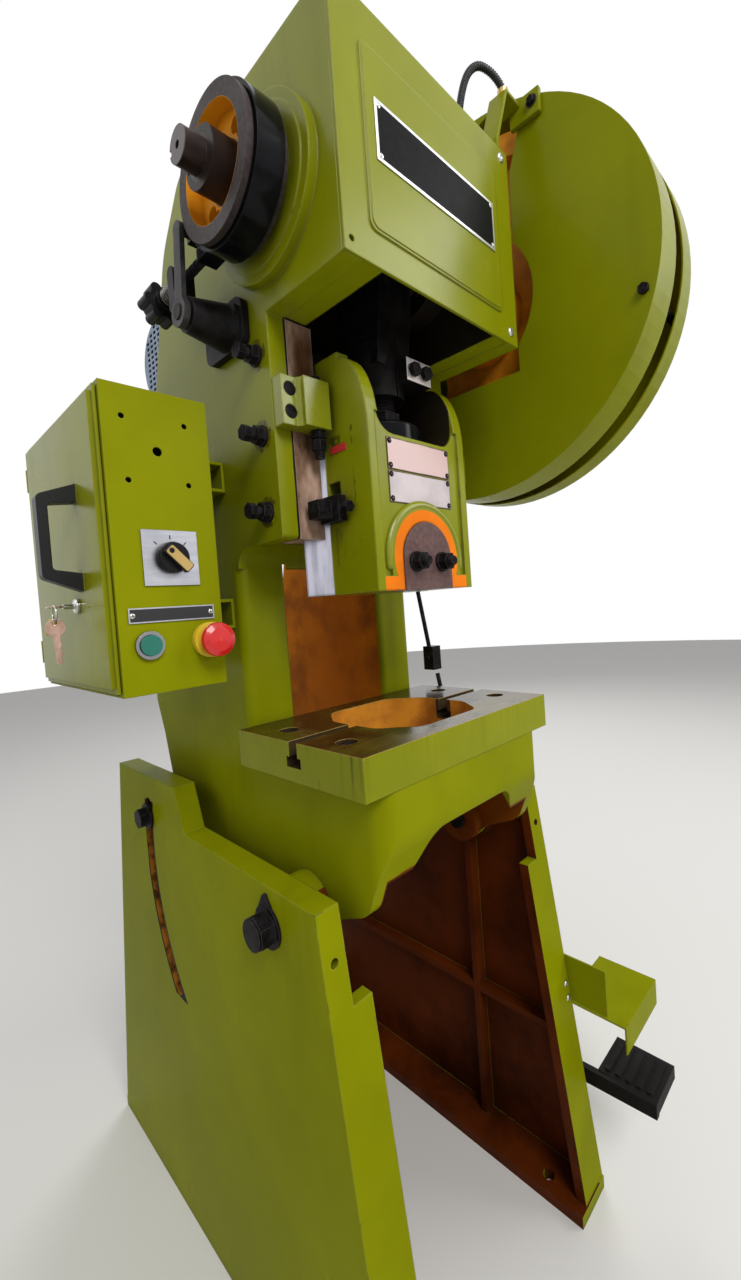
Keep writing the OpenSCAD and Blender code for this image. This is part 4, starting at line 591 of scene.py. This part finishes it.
plastic("buttonGreen", (0.0, 0.165, 0.115), 0.25, coat=0.5)
plastic("buttonRed", (0.62, 0.012, 0.012), 0.25, coat=0.5)
plastic("tagRed", (0.55, 0.03, 0.03), 0.4)
plastic("tagYellow", (0.8, 0.58, 0.05), 0.45)
plastic("pointerGold", (0.52, 0.36, 0.12))

nodeFinish = {
    "legGreen": "left_leg right_leg", "frameGreen": "press_frame", "slideGreen": "slide",
    "sheetGreen": "guard_inner guard_outer guard_bracket pedal_hood control_box", "doorGreen": "box_door",
    "coverGreen": "head_cover", "castGreen": "knockout_brackets motor_plate",
    "blackSteel": "tie_rods pivot_bolts lock_bolts bolster_screws gib_screws stop_screws rod_bolts "
                  "clamp_studs guard_stays upper_rod lower_rod knockout_bar ball_screw",
    "castBlack": "brake_bracket clutch_lever", "bandBlack": "brake_band ball_seat_ring",
    "rodBlack": "connecting_rod rod_cap", "linkSteel": "brake_link", "bolsterOily": "bolster_plate",
    "clampSteel": "shank_clamp", "shaftSteel": "crankshaft", "drumIron": "brake_drum",
    "machinedSteel": "clutch_collar shaft_end_plate motor_pulley door_key", "gibBronze": "left_gib right_gib",
    "bushBronze": "main_bearings flywheel_bush", "zincScrew": "cover_screws", "wheelPrimer": "flywheel",
    "springSteel": "brake_spring", "panelAluminium": "panel_plates", "namePlate": "nameplate",
    "signPlate": "sign_plates", "motorBlue": "motor fan_cover", "rubberBlack": "drive_belts", "hoseBlack": "conduit",
    "knobBlack": "selector_knob brake_knob", "pedalBlack": "foot_pedal", "buttonGreen": "start_button",
    "buttonRed": "stop_button"}
for label, names in nodeFinish.items():
    for name in names.split():
        materials = nodes[name].data.materials
        materials.clear()
        materials.append(finish[label])
print("materials on", sum(len(names.split()) for names in nodeFinish.values()), "nodes")


# Geometry Nodes helpers: trees with named inputs, and pieces grown from a mesh of points or edges
def growTree(name, inputs):
    tree = bpy.data.node_groups.new(name, "GeometryNodeTree")
    for label, side in (("Geometry", "INPUT"), ("Material", "INPUT"), ("Geometry", "OUTPUT")):
        tree.interface.new_socket(label, in_out=side, socket_type="NodeSocket" + label)
    addInputs(tree, inputs)
    return tree, tree.nodes.new("NodeGroupInput").outputs


def endTree(shape, given):
    tree = shape.id_data
    whole = made(tree, "GeometryNodeRealizeInstances", Geometry=shape)
    painted = made(tree, "GeometryNodeSetMaterial", Geometry=whole, Material=given["Material"])
    tree.links.new(painted, tree.nodes.new("NodeGroupOutput").inputs["Geometry"])


def triple(x, y, z):
    return made(treeOf(x, y, z), "ShaderNodeCombineXYZ", X=x, Y=y, Z=z)


def moved(shape, **values):
    return made(shape.id_data, "GeometryNodeTransform", Geometry=shape, **values)


def turnedBy(turn):
    return made(turn.id_data, "FunctionNodeEulerToRotation", Euler=turn)


def onPoints(given, shape, rotation):
    return made(shape.id_data, "GeometryNodeInstanceOnPoints", Points=given["Geometry"], Instance=shape,
                Rotation=rotation)


def sweep(given, line, radius, scale=None):
    tree = line.id_data
    ring = made(tree, "GeometryNodeCurvePrimitiveCircle", Resolution=given["Sides"], Radius=radius)
    return made(tree, "GeometryNodeCurveToMesh", Curve=line, Profile_Curve=ring, Scale=scale, Fill_Caps=True)


def growPiece(name, tree, points, edges=(), girths=None, **values):
    source = bpy.data.meshes.new(name + "Source")
    source.from_pydata(points, edges, [])
    if girths:
        source.attributes.new("girth", "FLOAT", "POINT").data.foreach_set("value", girths)
    holder = addObject(name + "Source", source)
    grow = holder.modifiers.new("grow", "NODES")
    grow.node_group = tree
    for socket in tree.interface.items_tree:
        if socket.in_out == "INPUT" and socket.name in values:
            grow[socket.identifier] = values[socket.name]
    shape = holder.evaluated_get(bpy.context.evaluated_depsgraph_get())
    mesh = bpy.data.meshes.new_from_object(shape)
    holder.modifiers.remove(grow)
    bpy.data.objects.remove(holder)
    return addObject(name, mesh)


def settle(piece, body, slot, replaced=()):
    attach(piece, body)
    if replaced:
        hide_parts(*replaced)


# domed screw heads with a cross recess, one on each point
headTree, given = growTree("crossHeads", {"Radius": 0.004, "Height": 0.002, "Slot": 0.001, "Turn": (0.0, 0.0, 0.0)})
dome = made(headTree, "GeometryNodeMeshUVSphere", Segments=24, Rings=14, Radius=1.0)
dome = moved(dome, Scale=triple(given["Radius"], given["Radius"], given["Height"]))
recess = triple(times(given["Radius"], 1.25), given["Slot"], given["Height"])
recess = made(headTree, "GeometryNodeMeshCube", Size=recess)
recess = moved(recess, Translation=triple(0.0, 0.0, given["Height"]))
carve = addNode(headTree, "GeometryNodeMeshBoolean", {"operation": "DIFFERENCE"}, Mesh_1=dome, Mesh_2=recess)
feed(carve.inputs["Mesh 2"], moved(recess, Rotation=(0, 0, math.pi / 2)))
endTree(onPoints(given, carve.outputs["Mesh"], turnedBy(given["Turn"])), given)

# a helix on each point: thread turns with three sides, or a coil spring with round wire
helixTree, given = growTree("helixes", {"Radius": 0.006, "Pitch": 0.00175, "Length": 0.05, "Wire": 0.0007,
                                        "Sides": 3, "Turn": (0.0, 0.0, 0.0)})
turns = calc("DIVIDE", given["Length"], given["Pitch"])
spiral = made(helixTree, "GeometryNodeCurveSpiral", Resolution=28, Rotations=turns,
              Start_Radius=given["Radius"], End_Radius=given["Radius"], Height=given["Length"])
coil = sweep(given, spiral, given["Wire"])
endTree(onPoints(given, coil, turnedBy(given["Turn"])), given)

# a round section swept along edges, thicker or thinner by the girth of each point
sweepTree, given = growTree("sweeps", {"Radius": 0.005, "Sides": 16})
route = made(sweepTree, "GeometryNodeMeshToCurve", Mesh=given["Geometry"])
girth = made(sweepTree, "GeometryNodeInputNamedAttribute", {"data_type": "FLOAT"}, Name="girth")
endTree(sweep(given, route, given["Radius"], girth), given)

# small bars that point away from a centre, one on each point
tickTree, given = growTree("ticks", {"Centre": (0.0, 0.0, 0.0), "Size": (0.004, 0.0004, 0.001)})
spot = tickTree.nodes.new("GeometryNodeInputPosition").outputs[0]
away = vectorCalc("SUBTRACT", spot, given["Centre"])
aimed = made(tickTree, "FunctionNodeAlignRotationToVector", {"axis": "X"}, Vector=away)
bar = made(tickTree, "GeometryNodeMeshCube", Size=given["Size"])
endTree(onPoints(given, bar, aimed), given)
print("grow trees built")


def smoothPath(points, perSpan):
    path = []
    for i in range(len(points) - 1):
        a, b = points[max(i - 1, 0)], points[i]
        c, d = points[i + 1], points[min(i + 2, len(points) - 1)]
        for k in range(perSpan):
            t = k / perSpan
            path.append(0.5 * (2 * b + (c - a) * t + (2 * a - 5 * b + 4 * c - d) * t ** 2
                               + (3 * b - a - 3 * c + d) * t ** 3))
    return path + [points[-1]]


def chain(count, closed=False):
    return [(i, i + 1) for i in range(count - 1)] + ([(count - 1, 0)] if closed else [])


def smoothFaces(piece):
    piece.data.polygons.foreach_set("use_smooth", [True] * len(piece.data.polygons))
    return piece


def roundEdges(shape, offset, sharp):
    rims = [e for e in shape.edges if e.calc_face_angle(0) > sharp]
    bmesh.ops.bevel(shape, geom=rims, offset=offset, segments=2, affect="EDGES")


def meshPiece(name, shape, place, material, smooth):
    shape.transform(place)
    bmesh.ops.recalc_face_normals(shape, faces=shape.faces[:])
    for face in shape.faces:
        face.smooth = smooth
    for edge in shape.edges:
        edge.smooth = not smooth or edge.calc_face_angle(0) < 0.6
    mesh = bpy.data.meshes.new(name)
    shape.to_mesh(mesh)
    shape.free()
    mesh.materials.append(finish[material])
    return addObject(name, mesh)


# a flat plate from an outline and round holes, with rounded edges; place turns its corners into the world
def plate(name, outline, thick, place, material, holes=(), rounding=0.0004, holeSteps=20):
    shape = bmesh.new()
    loops = [outline]
    for x, y, r in holes:
        spots = [onCircle(r, 360 * i / holeSteps) for i in range(holeSteps)]
        loops.append([(x + dx, y + dy) for dx, dy in spots])
    rims = []
    for loop in loops:
        corners = [shape.verts.new((x, y, 0)) for x, y in loop]
        rims += [shape.edges.new((corners[i - 1], corners[i])) for i in range(len(corners))]
    bmesh.ops.triangle_fill(shape, use_beauty=True, edges=rims)
    grown = bmesh.ops.extrude_face_region(shape, geom=shape.faces[:])["geom"]
    bmesh.ops.translate(shape, vec=(0, 0, thick), verts=[v for v in grown if isinstance(v, bmesh.types.BMVert)])
    bmesh.ops.recalc_face_normals(shape, faces=shape.faces[:])
    bmesh.ops.dissolve_limit(shape, angle_limit=0.01, verts=shape.verts[:], edges=shape.edges[:])
    roundEdges(shape, rounding, 0.9)
    return meshPiece(name, shape, place, material, False)


# a turned piece from a profile of (radius, height) pairs that starts and ends on the axis, or closes
def turned(name, profile, place, material, steps=56, corner=0.0005):
    shape = bmesh.new()
    line = [shape.verts.new((r, 0, h)) for r, h in profile]
    edges = [shape.edges.new(pair) for pair in zip(line, line[1:])]
    bmesh.ops.spin(shape, geom=line + edges, cent=(0, 0, 0), axis=(0, 0, 1), angle=math.tau, steps=steps)
    bmesh.ops.remove_doubles(shape, verts=shape.verts[:], dist=0.00001)
    bmesh.ops.recalc_face_normals(shape, faces=shape.faces[:])
    roundEdges(shape, corner, 0.5)
    return meshPiece(name, shape, place, material, True)


def roundedBox(width, height, r, steps=5, shift=0.0):
    corners = []
    for sx, sy, start in ((1, 1, 0), (-1, 1, 90), (-1, -1, 180), (1, -1, 270)):
        for i in range(steps + 1):
            dx, dy = onCircle(r, start + 90 * i / steps)
            corners.append((shift + sx * (width / 2 - r) + dx, sy * (height / 2 - r) + dy))
    return corners


# a place whose own X, Y and Z run along the given world directions
def frameAt(origin, x, z):
    x, z = Vector(x).normalized(), Vector(z).normalized()
    return Matrix.Translation(origin) @ Matrix((x, z.cross(x), z)).transposed().to_4x4()


faceFront = (math.pi / 2, 0, 0)
faceLeft = (0, -math.pi / 2, 0)
faceUp = (0, 0, 0)


# screw heads: head cover, nameplate and strip of the control box, sign plates
def addHeads(name, points, radius, height, slot, turn, look, settled):
    piece = growPiece(name, headTree, pressAll(points), Radius=radius, Height=height, Slot=slot, Turn=turn,
                      Material=finish[look])
    settle(piece, *settled)


screwHeads = {
    "coverScrewHeads": {
        "points": [(146, -126, 525), (146, -126, 766), (-153, -126, 766)],
        "radius": 0.0066, "height": 0.0032, "slot": 0.0014, "turn": faceFront, "look": "zincScrew",
        "settled": ("frame", "bright_steel", ("cover_screws",))},
    "plateRivets": {
        "points": [(x, -130.5, z) for x in (-105, 105) for z in (626, 678)] + [(x, 61.5, 158) for x in (-325, -240)],
        "radius": 0.003, "height": 0.0012, "slot": 0.0007, "turn": faceFront, "look": "zincScrew",
        "settled": ("frame", "bright_steel")},
    "signScrewHeads": {
        "points": [(x, -65.2, z + rise) for x in (-55.5, 55.5) for z in (319, 278) for rise in (4.5, 34.5)],
        "radius": 0.0036, "height": 0.0019, "slot": 0.0009, "turn": faceFront, "look": "blackSteel",
        "settled": ("slide_block", "black_steel")}}
for name, heads in screwHeads.items():
    addHeads(name, **heads)

# thread turns on the screws that show: body, starts, radius, length, direction and coarseness
threads = {"pitch": 0.00175, "wire": 0.0007, "sides": 3}
threadRows = {
    "gibScrewThreads": ("frame", [(-175, 46, z) for z in gibScrews["heights"]], 0.006, 0.008, faceLeft, 1.0),
    "stopScrewThreads": ("frame", [(x, 2, 338.5) for x in (-111, 111)], 0.006, 0.099, faceUp, 1.0),
    "brakeStudThread": ("frame", [(-209, 122, 574)], 0.005, 0.05, faceFront, 1.0),
    "clampStudThreads": ("slide_block", [(x, -85, 204) for x in (-25.5, 25.5)], 0.006, 0.0065, faceFront, 1.0),
    "ballScrewThread": ("screw", [(0, 0, 412)], 0.02, 0.09, faceUp, 2.0)}
for name, (body, starts, radius, length, turn, coarse) in threadRows.items():
    piece = growPiece(name, helixTree, pressAll(starts), Radius=radius, Pitch=threads["pitch"] * coarse, Length=length,
                      Turn=turn, Wire=threads["wire"] * coarse, Sides=threads["sides"], Material=finish["blackSteel"])
    settle(piece, body, "black_steel")

# coil spring on the brake stud
brakeSpring = {"radius": 0.0095, "wire": 0.0019, "sides": 12, "turns": 5.5, "from": 142.4, "to": 171.6}
length = (brakeSpring["to"] - brakeSpring["from"]) / 1000
piece = growPiece("brakeCoil", helixTree, [press(-209, brakeSpring["to"], 574)], Radius=brakeSpring["radius"],
                  Pitch=length / brakeSpring["turns"], Length=length, Wire=brakeSpring["wire"],
                  Sides=brakeSpring["sides"], Turn=faceFront, Material=finish["springSteel"])
settle(smoothFaces(piece), "frame", "black_steel", ("brake_spring",))

# ribbed conduit from the head to the guard, with a gland at each end
conduitHose = {"route": [(140, -60, 781), (140, -62, 835), (143, -68, 882), (150, -77, 916), (164, -87, 932),
                         (183, -96, 930), (198, -102, 919), (205, -103, 909)],
               "radius": 0.0052, "rib": 0.0035, "ribDepth": 0.07, "perSpan": 120, "sides": 14}
path = smoothPath(pressAll(conduitHose["route"]), conduitHose["perSpan"])
along = [0.0]
for a, b in zip(path, path[1:]):
    along.append(along[-1] + (b - a).length)
girths = [1 + conduitHose["ribDepth"] * math.sin(math.tau * s / conduitHose["rib"]) for s in along]
piece = growPiece("conduitHose", sweepTree, path, chain(len(path)), girths, Radius=conduitHose["radius"],
                  Sides=conduitHose["sides"], Material=finish["hoseBlack"])
settle(smoothFaces(piece), "frame", "black_plastic", ("conduit",))
glands = {"spots": [(205, -103, 896), (140, -60, 780)],
          "profile": [(0, 0), (0.0105, 0), (0.0105, 0.007), (0.0084, 0.008), (0.0084, 0.016), (0, 0.016)]}
for i, spot in enumerate(glands["spots"]):
    piece = turned(f"conduitGland{i}", glands["profile"], Matrix.Translation(press(*spot)), "glandBrass")
    settle(piece, "frame", "bright_steel")

# bracket that holds the guard: a bent strap over the head, a straight arm lower down, their feet, and a bolt
strap = {"width": 0.03, "half": 3, "v": -88, "line": [(157.4, 720), (157.4, 806), (190, 893), (229, 893)],
         "across": [(1, 0), (0.97, -0.24), (0.44, -0.9), (0, -1)]}
bends = list(zip(strap["line"], strap["across"]))
left, right = [[((x + nx * half) / 1000, (z + nz * half) / 1000) for (x, z), (nx, nz) in bends]
               for half in (-strap["half"], strap["half"])]
place = frameAt(press(0, strap["v"], 0), (1, 0, 0), (0, -1, 0))
piece = plate("guardStrap", left + right[::-1], strap["width"], place, "sheetGreen", rounding=0.0008)
settle(piece, "frame", "green_paint", ("guard_bracket",))
guardFeet = {"guardstrapFoot": ((-150, -100), (866, 902), 225.3, 7.9),
             "guardarmFoot": ((30, 110), (352, 400), 225.3, 7.9),
             "guardarmRoot": ((40, 110), (370, 400), 154.3, 7.7),
             "guardlowArm": ((60, 68), (370, 400), 161.8, 63.7)}
for name, ((v0, v1), (z0, z1), x, deep) in guardFeet.items():
    place = frameAt(press(x, (v0 + v1) / 2, (z0 + z1) / 2), (0, 1, 0), (1, 0, 0))
    piece = plate(name, roundedBox((v1 - v0) / 1000, (z1 - z0) / 1000, 0.0015), deep / 1000, place, "sheetGreen",
                  rounding=0.0006)
    settle(piece, "frame", "green_paint")
guardBolt = {"guardBoltWasher": (0.0085, 0.0018, 40), "guardBoltHead": (0.0062, 0.006, 6)}
place = frameAt(press(225.3, -138, 886), (0, 0, 1), (-1, 0, 0))
for name, (r, deep, steps) in guardBolt.items():
    settle(turned(name, [(0, 0), (r, 0), (r, deep), (0, deep)], place, "blackSteel", steps), "frame", "black_steel")

# cast bead around the arch of the shank clamp, rounded at its ends
archBead = {"radius": 0.0062, "sides": 18, "reach": 68.8, "foot": 192.6, "rise": 1.9, "straight": 9, "centre": 209,
            "v": -63.2, "roundOver": 4}
reach = archBead["reach"]
rises = [archBead["foot"] + i * archBead["rise"] for i in range(archBead["straight"])]
bend = [onCircle(reach, 180 - a) for a in range(0, 181, 4)]
arch = [(-reach, z) for z in rises] + [(x, archBead["centre"] + z) for x, z in bend]
arch += [(reach, z) for z in rises[::-1]]
fromEnd = [min(i, len(arch) - 1 - i) / archBead["roundOver"] for i in range(len(arch))]
girths = [math.sqrt(max(0.02, 1 - (1 - near) ** 2)) if near < 1 else 1.0 for near in fromEnd]
points = [press(x, archBead["v"], z) for x, z in arch]
piece = growPiece("archBead", sweepTree, points, chain(len(arch)), girths, Radius=archBead["radius"],
                  Sides=archBead["sides"], Material=finish["castGreen"])
settle(smoothFaces(piece), "slide_block", "green_paint")

# small red tag on the left side of the slide
redTag = {"width": 0.03, "height": 0.009, "corner": 0.0012, "thick": 0.0008, "place": (-93, -13, 350)}
piece = plate("redTag", roundedBox(redTag["width"], redTag["height"], redTag["corner"]), redTag["thick"],
              frameAt(press(*redTag["place"]), (0, -1, 0), (-1, 0, 0)), "tagRed", rounding=0.0002)
settle(piece, "slide_block", "button_red")

# dial of the selector: marks around a black knob with a bar across it, and a gold pointer on the bar
dial = {"x": -280, "z": 219, "baseV": 61.2, "markV": 61.0, "reach": 22.5, "angles": (135, 90, 45),
        "mark": (0.0042, 0.0005, 0.0009)}
spots = [onCircle(dial["reach"], a) for a in dial["angles"]]
marks = [press(dial["x"] + x, dial["markV"], dial["z"] + z) for x, z in spots]
piece = growPiece("dialTicks", tickTree, marks, Centre=press(dial["x"], dial["markV"], dial["z"]),
                  Size=dial["mark"], Material=finish["rubberBlack"])
settle(piece, "frame", "black_plastic")
knob = {"angle": -45, "profile": [(0, 0), (0.017, 0), (0.017, 0.00735), (0.0158, 0.0105), (0, 0.0105)],
        "depth": 0.0105, "long": 0.033, "wide": 0.0125, "shift": 0.003, "bar": 0.0065, "inlay": 0.001,
        "hole": (-0.0085, 0, 0.0028)}
across, up = onCircle(1, knob["angle"])
aim = (across, 0, up)
centre = press(dial["x"], dial["baseV"], dial["z"])
piece = turned("selectorBoss", knob["profile"], frameAt(centre, aim, (0, -1, 0)), "knobBlack")
settle(piece, "selector", "black_plastic", ("selector_knob",))
centre.y -= knob["depth"] - 0.0003
piece = plate("selectorBar", roundedBox(knob["long"], knob["wide"], 0.0025, shift=knob["shift"]), knob["bar"],
              frameAt(centre, aim, (0, -1, 0)), "knobBlack", rounding=0.0006)
settle(piece, "selector", "black_plastic")
centre.y -= knob["bar"] - 0.0002
inlay = roundedBox(knob["long"] - 0.002, knob["wide"] - 0.002, 0.002, shift=knob["shift"])
piece = plate("goldPointer", inlay, knob["inlay"], frameAt(centre, aim, (0, -1, 0)), "pointerGold",
              holes=(knob["hole"],), rounding=0.0003)
settle(piece, "selector", "bronze")

# key in the door lock, with its bow flat so that the ring hangs through it
lockKey = {"face": (-346.8, 159, 174), "profile": [(0, 0), (0.0085, 0), (0.0085, 0.004), (0.007, 0.0052),
                                                   (0.0028, 0.0052), (0.0028, 0.0165), (0, 0.0165)],
           "bow": (-370.6, 159, 173.1), "bowLong": 0.016, "bowWide": 0.018, "bowCorner": 0.006,
           "thick": 0.0018, "hole": (-0.002, 0, 0.0028)}
place = frameAt(press(*lockKey["face"]), (0, 1, 0), (-1, 0, 0))
piece = turned("lockBarrel", lockKey["profile"], place, "zincScrew")
settle(piece, "key", "bright_steel", ("door_key",))
piece = plate("lockBow", roundedBox(lockKey["bowLong"], lockKey["bowWide"], lockKey["bowCorner"]), lockKey["thick"],
              frameAt(press(*lockKey["bow"]), (1, 0, 0), (0, 0, 1)), "keyBrass", holes=(lockKey["hole"],))
settle(piece, "key", "bronze")

# ring, spare key and tag that hang from the door key
keys = {"hang": (-372.6, 154, 167.13), "ring": 0.0085, "ringWire": 0.0009, "ringSteps": 48, "sides": 10,
        "bow": 0.0098, "tip": -0.0388, "half": 0.0034, "thick": 0.002, "keyDrop": (0, 0.001, -0.016),
        "keyHole": (0, 0.0058, 0.0026), "tagDrop": (-0.003, 0.004, -0.0154), "tagHole": (0, 0.0062, 0.0016),
        "tagThick": 0.0016}
hang = press(*keys["hang"])
turns = [360 * i / keys["ringSteps"] for i in range(keys["ringSteps"])]
loop = [hang + Vector((0, *onCircle(keys["ring"], a))) for a in turns]
piece = growPiece("keyRing", sweepTree, loop, chain(len(loop), True), [1.0] * len(loop), Radius=keys["ringWire"],
                  Sides=keys["sides"], Material=finish["zincScrew"])
settle(smoothFaces(piece), "door", "bright_steel")
half, tip = keys["half"], keys["tip"]
bow = [onCircle(keys["bow"], a) for a in range(-70, 251, 10)]
blade = [(-half, -0.012), (-half, tip), (-0.001, tip - 0.002), (half * 0.7, tip), (half * 0.7, -0.034),
         (half * 0.4, -0.032), (half, -0.03), (half, -0.026), (half * 0.5, -0.024), (half, -0.021), (half, -0.012)]
place = frameAt(hang + Vector(keys["keyDrop"]), (1, -0.2, 0.05), (-0.2, -1, 0))
piece = plate("spareKey", bow + blade, keys["thick"], place, "keyBrass", holes=(keys["keyHole"],), rounding=0.0003)
settle(piece, "door", "bronze")
piece = plate("keyTag", roundedBox(0.0085, 0.018, 0.002), keys["tagThick"],
              frameAt(hang + Vector(keys["tagDrop"]), (1, -0.1, -0.25), (-0.1, -1, 0)), "tagYellow",
              holes=(keys["tagHole"],), rounding=0.0003)
settle(piece, "door", "bronze")

# seat ring of the ball screw, with a bevelled shoulder and a countersunk bore
seatRing = {"low": 363, "profile": [(0.0225, 0), (0.052, 0), (0.052, 0.025), (0.048, 0.029), (0.0285, 0.029),
                                    (0.0225, 0.025), (0.0225, 0)]}
place = Matrix.Translation(press(0, 0, seatRing["low"]))
piece = turned("seatRing", seatRing["profile"], place, "bandBlack", steps=72)
settle(piece, "slide_block", "black_steel", ("ball_seat_ring",))

# screws of the pedal hood, square to its slanted front
hoodScrews = {"points": [(214, -113.6, -470), (214, -116.4, -492)], "radius": 0.0055, "height": 0.003, "slot": 0.0012,
              "turn": (math.pi / 2 + 0.13, 0, 0), "look": "zincScrew", "settled": ("base", "bright_steel")}
addHeads("hoodScrewHeads", **hoodScrews)
print("detail pieces made")

# floor, world and lamps; each lamp has its place, size, power and tint
studio = {"floor": (0.74, 0.73, 0.71), "floorRadius": 9.0, "floorRough": 0.75, "ambient": 0.38, "aim": (0, 0, 0.9),
          "lamps": [((-0.9, -2.9, 3.4), 1.5, 95, (1.0, 0.98, 0.95)), ((2.2, -2.4, 2.6), 1.6, 42, (0.96, 0.98, 1.0)),
                    ((-2.8, 1.4, 2.8), 1.8, 16, (0.98, 0.99, 1.0)), ((2.8, 2.0, 3.0), 2.0, 45, (1.0, 1.0, 1.0))]}
ground = bmesh.new()
bmesh.ops.create_circle(ground, cap_ends=True, segments=64, radius=studio["floorRadius"])
tree, shader = newMaterial("studioFloor")
setShader(shader, Base_Color=studio["floor"], Roughness=studio["floorRough"])
meshPiece("studioFloor", ground, Matrix(), "studioFloor", False)

world = bpy.data.worlds.new("studioWorld")
scene.world = world
world.use_nodes = True
tree = world.node_tree
background = tree.nodes["Background"]
rays = tree.nodes.new("ShaderNodeLightPath").outputs
seen = anyOf([rays["Is Camera Ray"], rays["Is Glossy Ray"], rays["Is Transmission Ray"]])
setShader(background, Color=(1, 1, 1), Strength=mixValue(seen, studio["ambient"], 1.0))
for place, size, power, tint in studio["lamps"]:
    lampData = bpy.data.lights.new("studioLamp", "AREA")
    lampData.size = size
    lampData.energy = power
    lampData.color = tint
    lamp = addObject("studioLamp", lampData)
    lamp.location = place
    lamp.rotation_euler = (Vector(studio["aim"]) - Vector(place)).to_track_quat("-Z", "Y").to_euler()
print("floor, world and lamps set")
